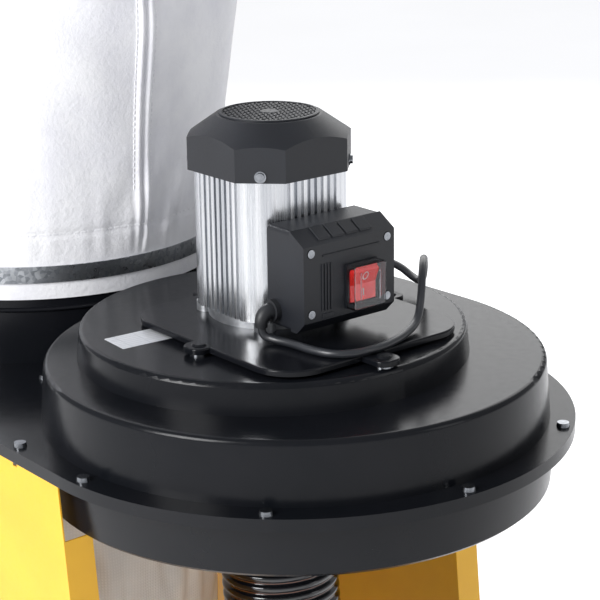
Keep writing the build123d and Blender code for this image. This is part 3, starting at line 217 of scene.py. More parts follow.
def joined(name: str, shells: list[tuple[Array, Array]]) -> Piece:
    """Make one object from several small shells of points and quads."""
    points, faces, start = [], [], 0
    for shell_points, shell_faces in shells:
        points.append(shell_points)
        faces += (shell_faces + start).tolist()
        start += len(shell_points)
    mesh = bpy.data.meshes.new(name)
    mesh.from_pydata(np.vstack(points).tolist(), [], faces)
    mesh.update()
    return link_object(name, mesh)


def block(low: Point, high: Point) -> tuple[Array, Array]:
    """Corners and outward quads of a box between two corners."""
    x, y, z = np.array([low, high]).T
    points = np.array([[x[a], y[b], z[c]] for a in (0, 1) for b in (0, 1) for c in (0, 1)])
    faces = np.array([[0, 1, 3, 2], [4, 6, 7, 5], [0, 4, 5, 1], [2, 3, 7, 6], [0, 2, 6, 4], [1, 5, 7, 3]])
    return points, faces


def bevelled(piece: Piece, width: float, segments: int = 2) -> Piece:
    """Round a piece's edges with a bevel of a given width in metres."""
    modifier = piece.modifiers.new("rounded edges", "BEVEL")
    modifier.width = width
    modifier.segments = segments
    modifier.limit_method = "ANGLE"
    modifier.harden_normals = False
    return piece


def tube_rings(path: Array, radii: Array, sides: int) -> Array:
    """Rings of a tube along a path.

    A frame is carried along the path by turning the last one onto each new heading, and ring k is
    the path's point k plus its radius times the cosine and sine round that frame.
    """
    heading = np.gradient(path, axis=0)
    heading /= np.linalg.norm(heading, axis=1, keepdims=True)
    side = np.empty_like(path)
    start = np.cross(heading[0], [0.0, 0.0, 1.0])
    if np.linalg.norm(start) < 0.1:
        start = np.cross(heading[0], [0.0, 1.0, 0.0])
    side[0] = start / np.linalg.norm(start)
    for k in range(1, len(path)):
        carried = side[k - 1] - heading[k] * np.dot(side[k - 1], heading[k])
        side[k] = carried / np.linalg.norm(carried)
    up = np.cross(heading, side)
    turn = np.linspace(0, 2 * np.pi, sides, endpoint=False)
    spread = side[:, None] * np.cos(turn)[None, :, None] + up[:, None] * np.sin(turn)[None, :, None]
    return path[:, None] + spread * radii[:, None, None]


def evenly(path: Array, count: int) -> Array:
    """Points at even steps of length along a polyline."""
    steps = np.concatenate([[0.0], np.cumsum(np.linalg.norm(np.diff(path, axis=0), axis=1))])
    at = np.linspace(0, steps[-1], count)
    return np.stack([np.interp(at, steps, path[:, k]) for k in range(3)], axis=1)


# ------------------------------------------------------------------ finishes
@dataclass(frozen=True)
class Finish:
    """A finish made of a base colour with soft clouds, and a fine grain in roughness and bump.

    Sizes are in millimetres. The stretch makes the grain longer along an axis, as on drawn or
    brushed metal.
    """

    name: str
    colour: str
    second: str
    roughness: float
    roughness_swing: float = 0.05
    metallic: float = 0.0
    ior: float = 1.5
    cloud_mm: float = 60.0
    grain_mm: float = 1.2
    grain_depth_mm: float = 0.02
    stretch: Point = (1.0, 1.0, 1.0)
    coat: float = 0.0
    sheen: float = 0.0
    clear: float = 0.0
    glow: float = 0.0

    def build(self) -> Material:
        """Make the material, with its pattern nodes wired to one Principled shader."""
        made = bpy.data.materials.new(self.name)
        made.use_nodes = True
        tree = made.node_tree
        shader = next(n for n in tree.nodes if n.type == "BSDF_PRINCIPLED")
        shader.inputs["Metallic"].default_value = self.metallic
        if not self.metallic:
            shader.inputs["IOR"].default_value = self.ior
        shader.inputs["Coat Weight"].default_value = self.coat
        shader.inputs["Coat Roughness"].default_value = 0.08
        shader.inputs["Sheen Weight"].default_value = self.sheen
        shader.inputs["Sheen Roughness"].default_value = 0.6
        shader.inputs["Transmission Weight"].default_value = self.clear
        if self.glow:
            shader.inputs["Emission Color"].default_value = linear(self.colour)
            shader.inputs["Emission Strength"].default_value = self.glow
        place = add(tree, "ShaderNodeTexCoord", {}, {})
        self.pattern(tree, place, shader)
        return made

    def pattern(self, tree: Tree, place: Node, shader: Node) -> None:
        """Wire the clouds of colour and the grain of the surface."""
        along = add(tree, "ShaderNodeMapping", {"Scale": self.stretch}, {"Vector": place.outputs["Object"]})
        clouds = self.noise(tree, place.outputs["Object"], self.cloud_mm, 3.0)
        grain = self.noise(tree, along.outputs["Vector"], self.grain_mm, 4.0)
        self.colours(tree, clouds.outputs["Fac"], shader)
        self.surface(tree, grain.outputs["Fac"], shader)

    @staticmethod
    def noise(tree: Tree, source: Socket, size_mm: float, detail: float) -> Node:
        """Noise whose features are about the given size."""
        settings = {"Scale": 1.0 / (size_mm * MM), "Detail": detail, "Roughness": 0.6}
        return add(tree, "ShaderNodeTexNoise", settings, {"Vector": source})

    def colours(self, tree: Tree, amount: Socket, shader: Node) -> None:
        """Mix the two colours of the finish by an amount from 0 to 1."""
        spread = add(tree, "ShaderNodeMapRange", {"From Min": 0.35, "From Max": 0.65}, {"Value": amount})
        mixed = add(
            tree,
            "ShaderNodeMix",
            {"data_type": "RGBA", 6: linear(self.colour), 7: linear(self.second)},
            {0: spread.outputs["Result"]},
        )
        tree.links.new(mixed.outputs[2], shader.inputs["Base Color"])

    def surface(self, tree: Tree, height: Socket, shader: Node) -> None:
        """Drive roughness and bump by a height from 0 to 1."""
        rough = add(
            tree,
            "ShaderNodeMapRange",
            {
                "From Min": 0.3,
                "From Max": 0.7,
                "To Min": max(self.roughness - self.roughness_swing, 0.02),
                "To Max": self.roughness + self.roughness_swing,
            },
            {"Value": height},
        )
        tree.links.new(rough.outputs["Result"], shader.inputs["Roughness"])
        bump = add(
            tree,
            "ShaderNodeBump",
            {"Strength": 1.0, "Distance": self.grain_depth_mm * MM},
            {"Height": height},
        )
        tree.links.new(bump.outputs["Normal"], shader.inputs["Normal"])


@dataclass(frozen=True)
class Extruded(Finish):
    """Drawn or turned metal: fine lines run along the axis that the stretch squeezes, over soft
    bands that are lighter and darker across it."""

    band_mm: float = 9.0

    def pattern(self, tree: Tree, place: Node, shader: Node) -> None:
        """Wire long lines for the roughness and broad bands for the colour."""
        along = add(tree, "ShaderNodeMapping", {"Scale": self.stretch}, {"Vector": place.outputs["Object"]})
        bands = self.noise(tree, along.outputs["Vector"], self.band_mm, 5.0)
        lines = self.noise(tree, along.outputs["Vector"], self.grain_mm, 3.0)
        self.colours(tree, bands.outputs["Fac"], shader)
        self.surface(tree, lines.outputs["Fac"], shader)


@dataclass(frozen=True)
class Galvanised(Finish):
    """Hot-dip zinc: flat crystals of slightly different grey, a few millimetres across, with a
    dull mottle over them."""

    spangle_mm: float = 4.0

    def pattern(self, tree: Tree, place: Node, shader: Node) -> None:
        """Wire the crystals to the colour and to the roughness."""
        crystals = add(
            tree,
            "ShaderNodeTexVoronoi",
            {"Scale": 1.0 / (self.spangle_mm * MM)},
            {"Vector": place.outputs["Object"]},
        )
        mottle = self.noise(tree, place.outputs["Object"], self.cloud_mm, 6.0)
        grey = add(tree, "ShaderNodeSeparateColor", {}, {"Color": crystals.outputs["Color"]})
        both = reckon(tree, "MULTIPLY_ADD", grey.outputs["Red"], 0.45, mottle.outputs["Fac"])
        even = reckon(tree, "MULTIPLY", both, 0.69)
        self.colours(tree, even, shader)
        self.surface(tree, even, shader)


@dataclass(frozen=True)
class Felt(Finish):
    """Needled polyester felt: short fibres matted in every direction under a soft nap, with faint
    grey clouds where dust has worked in."""

    fibre_mm: float = 0.9

    def pattern(self, tree: Tree, place: Node, shader: Node) -> None:
        """Wire fibres for the bump, and clouds of grey for the colour."""
        fibres = self.noise(tree, place.outputs["Object"], self.fibre_mm, 6.0)
        lumps = self.noise(tree, place.outputs["Object"], self.grain_mm, 4.0)
        clouds = self.noise(tree, place.outputs["Object"], self.cloud_mm, 5.0)
        height = reckon(tree, "MULTIPLY_ADD", fibres.outputs["Fac"], 0.35, lumps.outputs["Fac"])
        self.colours(tree, clouds.outputs["Fac"], shader)
        self.surface(tree, reckon(tree, "MULTIPLY", height, 0.74), shader)


@dataclass(frozen=True)
class WovenFilm(Finish):
    """Woven film: flat tapes cross over and under each other, drawn twice as wide as they are so
    that they show, with a waxy shine."""

    tape_mm: float = 3.2

    def pattern(self, tree: Tree, place: Node, shader: Node) -> None:
        """Wire two sets of waves across the cloth's own map, and clouds of milky grey."""
        waves = [
            add(
                tree,
                "ShaderNodeTexWave",
                {"bands_direction": way, "Scale": 0.314 / (self.tape_mm * MM), "Distortion": 0.4},
                {"Vector": place.outputs["UV"]},
            )
            for way in ("X", "Y")
        ]
        weave = add(
            tree,
            "ShaderNodeMath",
            {"operation": "MULTIPLY"},
            {0: waves[0].outputs["Fac"], 1: waves[1].outputs["Fac"]},
        )
        clouds = self.noise(tree, place.outputs["Object"], self.cloud_mm, 4.0)
        self.colours(tree, clouds.outputs["Fac"], shader)
        self.surface(tree, weave.outputs["Value"], shader)


@dataclass(frozen=True)
class RibbedHoseSkin(Finish):
    """Blown thermoplastic over a coppered wire: glossy black crests, and a thin brown line where
    the wire shows through the wall between them."""

    line: str = "#6B3B22"
    ribs: int = 140

    def pattern(self, tree: Tree, place: Node, shader: Node) -> None:
        """Wire a thin line once per rib along the hose's own map, over the plain clouds."""
        parts = add(tree, "ShaderNodeSeparateXYZ", {}, {"Vector": place.outputs["UV"]})
        turns = reckon(tree, "MULTIPLY", parts.outputs["X"], float(self.ribs))
        phase = reckon(tree, "FRACT", turns)
        distance = reckon(tree, "ABSOLUTE", reckon(tree, "SUBTRACT", phase, 0.5))
        thin = add(
            tree,
            "ShaderNodeMapRange",
            {"From Min": 0.44, "From Max": 0.49, "To Min": 0.0, "To Max": 0.85},
            {"Value": distance},
        )
        clouds = self.noise(tree, place.outputs["Object"], self.cloud_mm, 3.0)
        grain = self.noise(tree, place.outputs["Object"], self.grain_mm, 3.0)
        ground = add(
            tree,
            "ShaderNodeMix",
            {"data_type": "RGBA", 6: linear(self.colour), 7: linear(self.second)},
            {0: clouds.outputs["Fac"]},
        )
        marked = add(
            tree,
            "ShaderNodeMix",
            {"data_type": "RGBA", 7: linear(self.line)},
            {0: thin.outputs["Result"], 6: ground.outputs[2]},
        )
        tree.links.new(marked.outputs[2], shader.inputs["Base Color"])
        self.surface(tree, grain.outputs["Fac"], shader)


@dataclass(frozen=True)
class RuledFoil(Finish):
    """Printed foil: a silvery plate with the thin grey rules of a blank table."""

    rule_mm: float = 4.4

    def pattern(self, tree: Tree, place: Node, shader: Node) -> None:
        """Wire a table of rules, turned to lie along the plate."""
        middle = box_centre("rating_label")
        turned = add(
            tree,
            "ShaderNodeMapping",
            {"vector_type": "TEXTURE", "Location": middle, "Rotation": (0.0, 0.0, math.atan2(1.0, 0.07))},
            {"Vector": place.outputs["Object"]},
        )
        rules = add(
            tree,
            "ShaderNodeTexBrick",
            {
                "offset": 0.0,
                "Color1": linear(self.colour),
                "Color2": linear(self.second),
                "Mortar": linear("#B4B7BC"),
                "Scale": 1.0,
                "Mortar Size": 0.3 * MM,
                "Mortar Smooth": 0.2,
                "Brick Width": 4.2 * self.rule_mm * MM,
                "Row Height": self.rule_mm * MM,
            },
            {"Vector": turned.outputs["Vector"]},
        )
        grain = self.noise(tree, place.outputs["Object"], self.grain_mm, 3.0)
        tree.links.new(rules.outputs["Color"], shader.inputs["Base Color"])
        self.surface(tree, grain.outputs["Fac"], shader)


@dataclass(frozen=True)
class Windings(Finish):
    """Enamelled copper wire: close turns drawn thicker than they are, under a brown varnish."""

    wire_mm: float = 1.4

    def pattern(self, tree: Tree, place: Node, shader: Node) -> None:
        """Wire rings round the motor's axis for the turns of wire."""
        centred = add(
            tree,
            "ShaderNodeMapping",
            {"vector_type": "TEXTURE", "Location": MOTOR},
            {"Vector": place.outputs["Object"]},
        )
        rings = add(
            tree,
            "ShaderNodeTexWave",
            {
                "wave_type": "RINGS",
                "rings_direction": "Z",
                "Scale": 0.314 / (self.wire_mm * MM),
                "Distortion": 1.0,
            },
            {"Vector": centred.outputs["Vector"]},
        )
        self.colours(tree, rings.outputs["Fac"], shader)
        self.surface(tree, rings.outputs["Fac"], shader)


class Coating(Enum):
    """The finish of each material slot."""

    # baked enamel on pressed sheet: a dark skin that mirrors broad lights softly; its IOR is a
    # little under that of resin, because the bare floor round it is brighter than a workshop's
    black_housing_enamel = Finish(
        "baked_black_enamel_on_steel", "#0F1115", "#131418", 0.22, 0.03, ior=1.29, grain_mm=7.0,
        grain_depth_mm=0.003
    )
    # powder enamel: strong warm yellow with a faint orange-peel
    yellow_enamel = Finish(
        "powder_enamel_yellow", "#E6AE16", "#E0A713", 0.40, 0.05, grain_mm=1.8, grain_depth_mm=0.02,
        coat=0.03
    )
    # extruded aluminium: bright drawn lines along the motor's axis
    extruded_aluminium = Extruded(
        "extruded_aluminium", "#E9EAEC", "#B9BCC1", 0.26, 0.1, 1.0, grain_mm=0.7, grain_depth_mm=0.02,
        stretch=(1.0, 1.0, 0.02)
    )
    cast_aluminium = Finish(
        "die_cast_aluminium", "#CFD1D4", "#A9ACB1", 0.4, 0.1, 1.0, cloud_mm=12.0, grain_mm=0.9,
        grain_depth_mm=0.06
    )
    # glass-filled nylon: matt, with the fine spark-eroded texture of its mould
    black_plastic = Finish(
        "moulded_black_nylon", "#101218", "#14171E", 0.46, 0.08, grain_mm=0.8, grain_depth_mm=0.035
    )
    # tinted polycarbonate with a painted glow: emission in its own colour stands in for light shining
    # through it
    red_plastic = Finish(
        "moulded_red_polycarbonate", "#E02A24", "#D21D1B", 0.18, 0.04, ior=1.58, cloud_mm=8.0, grain_mm=1.5,
        grain_depth_mm=0.01, coat=0.4, glow=0.35
    )
    clear_plastic = Finish(
        "clear_soft_vinyl", "#F4F6F8", "#E6EAEE", 0.08, 0.03, ior=1.4, cloud_mm=10.0, grain_mm=3.0,
        grain_depth_mm=0.02, clear=1.0
    )
    black_rubber = Finish(
        "moulded_black_rubber", "#1B1C1F", "#232529", 0.5, 0.08, grain_mm=0.9, grain_depth_mm=0.03
    )
    rubber_gasket = Finish(
        "foamed_rubber_gasket", "#121315", "#1A1B1E", 0.8, 0.08, grain_mm=0.8, grain_depth_mm=0.08
    )
    zinc_fasteners = Finish(
        "bright_zinc_plate", "#A3A6AB", "#85888D", 0.22, 0.06, 1.0, cloud_mm=4.0, grain_mm=0.6,
        grain_depth_mm=0.01
    )
    galvanised_steel = Galvanised(
        "galvanised_sheet_steel", "#B4B7BB", "#7E8287", 0.36, 0.1, 1.0, cloud_mm=16.0, grain_depth_mm=0.02
    )
    turned_steel = Extruded(
        "turned_steel", "#C9CBCE", "#A7A9AD", 0.25, 0.06, 1.0, grain_mm=0.6, grain_depth_mm=0.01,
        stretch=(0.03, 0.03, 1.0)
    )
    pressed_steel = Finish("blackened_pressed_steel", "#2C2D30", "#3A3C40", 0.38, 0.07, 0.6, cloud_mm=20.0)
    lamination_steel = Extruded(
        "stacked_laminations", "#77797D", "#4D4F53", 0.5, 0.1, 1.0, grain_mm=0.8, grain_depth_mm=0.05,
        stretch=(0.02, 0.02, 1.0), band_mm=1.5
    )
    copper_winding = Windings(
        "varnished_copper_wire", "#B5652E", "#7A3A18", 0.3, 0.08, 0.9, grain_mm=1.0, grain_depth_mm=0.3
    )
    plated_brass = Finish("nickel_plated_brass", "#D8D4C6", "#C6BFA9", 0.2, 0.05, 1.0, cloud_mm=5.0)
    label_foil = RuledFoil("printed_foil_plate", "#DADCE0", "#D3D5DA", 0.34, 0.05, 0.35, grain_mm=1.0)
    black_hose = RibbedHoseSkin(
        "blown_black_hose", "#0D0D10", "#141518", 0.16, 0.05, cloud_mm=80.0, grain_mm=2.0,
        grain_depth_mm=0.02, coat=0.5
    )
    felt_cloth = Felt(
        "needled_polyester_felt", "#F0F0F3", "#E2E2E8", 0.92, 0.05, cloud_mm=70.0, grain_mm=5.0,
        grain_depth_mm=0.9, sheen=0.25
    )
    woven_film = WovenFilm(
        "woven_milky_film", "#F3F1EC", "#E6E5E1", 0.34, 0.08, cloud_mm=90.0, grain_depth_mm=0.25, sheen=0.1
    )
    wheel_plastic = Finish(
        "moulded_wheel_plastic", "#15161A", "#1D1F23", 0.5, 0.07, grain_mm=1.0, grain_depth_mm=0.03
    )


class Thread(Enum):
    """Finishes that have no slot of their own."""

    white_thread = Finish(
        "spun_polyester_thread", "#F2F2F4", "#DEDEE3", 0.75, 0.05, cloud_mm=3.0, sheen=0.3
    )
    white_ink = Finish("white_printed_mark", "#F4F1EE", "#E9E5E2", 0.35, 0.04, cloud_mm=4.0)
    vinyl_cord = Finish(
        "vinyl_cord_sheath", "#202226", "#2A2C31", 0.36, 0.05, grain_mm=1.2, grain_depth_mm=0.015, coat=0.1
    )


MADE: dict[str, Material] = {}


def material(choice: Coating | Thread) -> Material:
    """The material of a finish, made the first time it is asked for."""
    if choice.name not in MADE:
        MADE[choice.name] = choice.value.build()
    return MADE[choice.name]


def dress(piece: Piece, choice: Coating | Thread) -> Piece:
    """Give every face of a piece one finish."""
    piece.data.materials.clear()
    piece.data.materials.append(material(choice))
    return piece


# ------------------------------------------------------------------ camera, light and floor
@dataclass
class Studio:
    """A pale floor, soft lights and the camera."""

    camera_from_dome: Point = (1.2203, -0.9569, 0.5021)
    looking: Point = (-0.7416, 0.6005, -0.2989)
    roll_degrees: float = -0.80
    lens_mm: float = 110.5
    floor_size: float = 60.0
    lights: list[tuple[str, Point, Point, float, float, float]] = field(
        default_factory=lambda: [
            # name, place and aim from the motor at dome height, width, height, watts
            ("key_softbox", (0.1, -2.5, 1.3), (-0.1, 0.0, 0.25), 1.2, 1.7, 98.0),
            ("fill_softbox", (2.3, 1.3, 1.0), (0.0, 0.0, 0.0), 0.7, 1.5, 5.0),
            ("back_softbox", (-3.2, 2.7, 2.1), (0.0, 0.0, 0.0), 6.0, 3.0, 105.0),
        ]
    )

    def camera(self) -> Piece:
        """Place the camera: its axes are the view direction, the level right turned by the roll,
        and their cross product."""
        forward = Vector(self.looking).normalized()
        level = forward.cross(Vector((0, 0, 1))).normalized()
        upright = level.cross(forward)
        roll = math.radians(self.roll_degrees)
        right = level * math.cos(roll) + upright * math.sin(roll)
        up = upright * math.cos(roll) - level * math.sin(roll)
        data = bpy.data.cameras.new("camera")
        data.lens = self.lens_mm
        data.sensor_width = 36.0
        data.clip_end = 100.0
        camera = link_object("camera", data)
        origin = Vector((MOTOR.x, MOTOR.y, DOME_TOP)) + Vector(self.camera_from_dome)
        turn = Matrix((right, up, -forward)).transposed()
        camera.matrix_world = Matrix.Translation(origin) @ turn.to_4x4()
        bpy.context.scene.camera = camera
        return camera

    def floor(self) -> Piece:
        """A square of pale floor at height zero."""
        half = self.floor_size / 2
        steps = np.linspace(-half, half, 3)
        x, y = np.meshgrid(steps, steps, indexing="ij")
        floor = grid_mesh("studio_floor", np.stack([x, y, np.zeros_like(x)], axis=-1))
        finish = Finish(
            "pale_matt_floor", "#F7F7F8", "#F2F2F3", 0.8, 0.04, cloud_mm=900.0, grain_mm=4.0, glow=0.6
        )
        floor.data.materials.append(finish.build())
        return floor

    def light(self) -> None:
        """Hang the softboxes and set the pale surroundings."""
        centre = Vector((MOTOR.x, MOTOR.y, DOME_TOP))
        for name, place, aim, width, height, watts in self.lights:
            data = bpy.data.lights.new(name, "AREA")
            data.shape = "RECTANGLE"
            data.size, data.size_y, data.energy = width, height, watts
            lamp = link_object(name, data)
            lamp.location = centre + Vector(place)
            facing = centre + Vector(aim) - lamp.location
            lamp.rotation_euler = facing.to_track_quat("-Z", "Y").to_euler()
        world = bpy.data.worlds.new("pale_surroundings")
        world.use_nodes = True
        ground = next(n for n in world.node_tree.nodes if n.type == "BACKGROUND")
        ground.inputs["Color"].default_value = linear("#F4F6FA")
        ground.inputs["Strength"].default_value = 0.46
        bpy.context.scene.world = world
        bpy.context.scene.view_settings.view_transform = "Standard"


# ------------------------------------------------------------------ cords
def nurbs_curve(name: str, points: Array, diameter: float) -> Piece:
    """One open NURBS spline through control points, round in section.

    Args:
        name: the piece's name.
        points: control points in metres.
        diameter: the cord's thickness, or 0 for a bare line.

    Returns:
        The curve's object.
    """
    data = bpy.data.curves.new(name, "CURVE")
    data.dimensions = "3D"
    spline = data.splines.new("NURBS")
    spline.points.add(len(points) - 1)
    weighted = np.hstack([points, np.ones((len(points), 1))])
    spline.points.foreach_set("co", weighted.astype(np.float32).ravel())
    spline.order_u = 3
    spline.use_endpoint_u = True
    spline.resolution_u = 8
    data.resolution_u = 8
    data.bevel_depth = diameter / 2
    data.bevel_resolution = 4
    data.use_fill_caps = bool(diameter)
    return link_object(name, data)


def spline_points(curve: Piece) -> Array:
    """Points of a bare curve's own line, in order."""
    graph = bpy.context.evaluated_depsgraph_get()
    mesh = bpy.data.meshes.new_from_object(curve.evaluated_get(graph))
    points = np.empty(len(mesh.vertices) * 3, np.float32)
    mesh.vertices.foreach_get("co", points)
    bpy.data.meshes.remove(mesh)
    return points.reshape(-1, 3).astype(float)


@dataclass
class MainsLead:
    """The mains lead: over the motor plate, up in its springy loop, round behind the motor and
    into a tied coil with its plug."""

    diameter: float = 0.007
    length: float = 1.80
    # from the motor's axis and the dome's top, in metres
    route: tuple[Point, ...] = (
        (0.066, -0.064, 0.0219),
        (0.066, -0.064, 0.0148),
        (0.075, -0.058, 0.0117),
        (0.092, -0.053, 0.0117),
        (0.115, -0.052, 0.0117),
        (0.136, -0.046, 0.0117),
        (0.147, -0.030, 0.0117),
        (0.149, -0.008, 0.0117),
        (0.144, 0.016, 0.0117),
        (0.134, 0.040, 0.0120),
        (0.123, 0.061, 0.0150),
        (0.115, 0.072, 0.0330),
        (0.103, 0.084, 0.0480),
        (0.086, 0.101, 0.0540),
        (0.068, 0.119, 0.0470),
        (0.053, 0.133, 0.0290),
        (0.040, 0.142, 0.0140),
        (0.022, 0.148, 0.0130),
        (0.000, 0.151, 0.0190),
        (-0.024, 0.150, 0.0200),
        (-0.048, 0.147, 0.0120),
        (-0.072, 0.145, 0.0050),
        (-0.096, 0.144, 0.0042),
        (-0.117, 0.140, 0.0000),
        (-0.133, 0.132, -0.0120),
        (-0.149, 0.1245, -0.0205),
    )
    coil_centre: tuple[float, float] = (-0.172, 0.164)
    coil_outer: float = 0.0455
    turns_per_layer: int = 3
    points_per_turn: int = 18
    entry_degrees: float = -60.0
    # share of a turn in which the lead crosses to its next column
    jog_turn: float = 0.17
    tie_degrees: float = 75.0
    tie_width: float = 0.010
    tie_thickness: float = 0.0007
    # from the coil's centre and the dome's top: off the coil and up into the plug's tail
    tail: tuple[Point, ...] = (
        (0.020, -0.034, -0.0155),
        (0.006, -0.046, -0.0110),
        (-0.012, -0.048, -0.0030),
        (-0.0200, -0.0370, 0.0035),
        (-0.0190, -0.0260, 0.0058),
        (-0.0167, -0.0177, 0.0060),
    )

    def coil(self) -> Array:
        """Control points of the coil's turns.

        The angle falls at a steady rate. The radius keeps its column's value for most of a turn and
        steps to the next column in the last part of it, inwards on the lower layer and outwards on
        the upper one, and the height steps once, between the layers.
        """
        inward = self.turns_per_layer
        turns = np.arange(1.5 / self.points_per_turn, 2 * inward - 1 + 0.02, 1.0 / self.points_per_turn)
        whole, part = np.floor(turns), turns % 1.0
        step = np.clip((part - (1 - self.jog_turn)) / self.jog_turn, 0, 1)
        step = step * step * (3 - 2 * step)
        place = whole + step
        lower = place <= inward - 1
        rise = np.clip(place - (inward - 1), 0, 1)
        column = np.where(lower, place, inward - 1 - np.clip(place - inward, 0, inward - 1))
        column = np.where((place > inward - 1) & (place < inward), inward - 1.0, column)
        flattening = (1 + math.cos(2 * math.pi / self.points_per_turn)) / 2
        radius = (self.coil_outer - column * self.diameter) / flattening
        angle = np.radians(self.entry_degrees) - 2 * np.pi * turns
        height = SCROLL_TOP + self.diameter * (0.54 + rise) + 0.0001
        x = MOTOR.x + self.coil_centre[0] + radius * np.cos(angle)
        y = MOTOR.y + self.coil_centre[1] + radius * np.sin(angle)
        return np.stack([x, y, height], axis=1)

    def build(self) -> Piece:
        """The lead on one spline, from the gland to the plug."""
        origin = np.array([MOTOR.x, MOTOR.y, DOME_TOP])
        route = origin + np.array(self.route)
        tail = origin + np.array([*self.coil_centre, 0.0]) + np.array(self.tail)
        lead = nurbs_curve("mains_lead", np.vstack([route, self.coil(), tail]), self.diameter)
        dress(lead, Thread.vinyl_cord)
        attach(lead, "machine")
        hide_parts("mains_cord", "mains_cord_coil")
        LOG.info("mains lead: %d control points", len(lead.data.splines[0].points))
        return lead

    def tie(self) -> Piece:
        """A wrapped tie round the coil: a flat band whose section is swept round a rounded
        rectangle that just clears the turns."""
        angle = math.radians(self.tie_degrees)
        out = np.array([math.cos(angle), math.sin(angle), 0.0])
        along = np.array([-math.sin(angle), math.cos(angle), 0.0])
        middle = np.array([MOTOR.x + self.coil_centre[0], MOTOR.y + self.coil_centre[1], 0.0])
        middle += out * (self.coil_outer - self.diameter)
        middle[2] += SCROLL_TOP + self.diameter + 0.0002
        turn = np.linspace(0, 2 * np.pi, 48, endpoint=False)
        # a superellipse of power four keeps close to the bundle's flat sides
        x = np.sign(np.cos(turn)) * np.abs(np.cos(turn)) ** 0.5 * (1.62 * self.diameter)
        z = np.sign(np.sin(turn)) * np.abs(np.sin(turn)) ** 0.5 * (1.06 * self.diameter)
        upward = np.array([0.0, 0.0, 1.0])
        ring = middle + x[:, None] * out + z[:, None] * upward
        normal = np.cos(turn)[:, None] * out + np.sin(turn)[:, None] * upward
        half, thin = self.tie_width / 2, self.tie_thickness
        section = [(-half, 0.0), (-half, thin), (half, thin), (half, 0.0)]
        loops = [ring + along * across - normal * (thin - thick) for across, thick in section]
        band = grid_mesh("coil_tie", np.stack(loops, axis=0), wrap_rows=True, wrap_columns=True)
        dress(band, Coating.black_plastic)
        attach(band, "machine")
        return band


@dataclass
class SuctionHose:
    """The ribbed suction hose, from under the fan to its cuff on the floor."""

    diameter: float = 0.108
    rib_depth: float = 0.0034
    ribs: int = 140
    steps_per_rib: int = 8
    sides: int = 56
    length: float = 1.40
    # from the motor's axis and the floor, in metres
    route: tuple[Point, ...] = (
        (0.0, 0.0, 0.6942),
        (0.0, 0.0, 0.4502),
        (0.143, 0.020, 0.1992),
        (0.387, 0.085, 0.0543),
        (0.650, 0.232, 0.0543),
        (0.850, 0.452, 0.0543),
    )

    def build(self) -> Piece:
        """Ribbed tube along the route's spline.

        The radius at a share u of the length is the crest radius less the rib depth times the
        fourth power of the cosine of half a rib's phase, which leaves round crests and narrow
        grooves between them.
        """
        points = np.array([MOTOR.x, MOTOR.y, 0.0]) + np.array(self.route)
        line = nurbs_curve("hose_route", points, 0.0)
        line.data.resolution_u = 64
        line.data.splines[0].resolution_u = 64
        smooth = spline_points(line)
        bpy.data.objects.remove(line)
        count = self.ribs * self.steps_per_rib + 1
        path = evenly(smooth, count)
        share = np.linspace(0, 1, count)
        groove = np.abs(np.cos(np.pi * share * self.ribs)) ** 4
        radii = self.diameter / 2 - self.rib_depth * groove
        rings = tube_rings(path, radii, self.sides)
        turn = np.linspace(0, 1, self.sides, endpoint=False)
        uv = np.stack(np.meshgrid(share, turn, indexing="ij"), axis=-1)
        hose = grid_mesh("ribbed_hose", rings, wrap_columns=True, close_ends=(True, True), uv=uv)
        dress(hose, Coating.black_hose)
        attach(hose, "machine")
        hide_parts("inlet_hose")
        LOG.info("suction hose: %d ribs", self.ribs)
        return hose


# ------------------------------------------------------------------ bags
def profile_radius(height: Array, knots: tuple[tuple[float, float], ...]) -> Array:
    """Radius at each height: straight runs between knots, softened by a running mean."""
    fine = np.linspace(knots[0][0], knots[-1][0], 600)
    radius = np.interp(fine, [k[0] for k in knots], [k[1] for k in knots])
    window = np.hanning(41)
    window /= window.sum()
    padded = np.pad(radius, 20, mode="edge")
    return np.interp(height, fine, np.convolve(padded, window, mode="valid"))


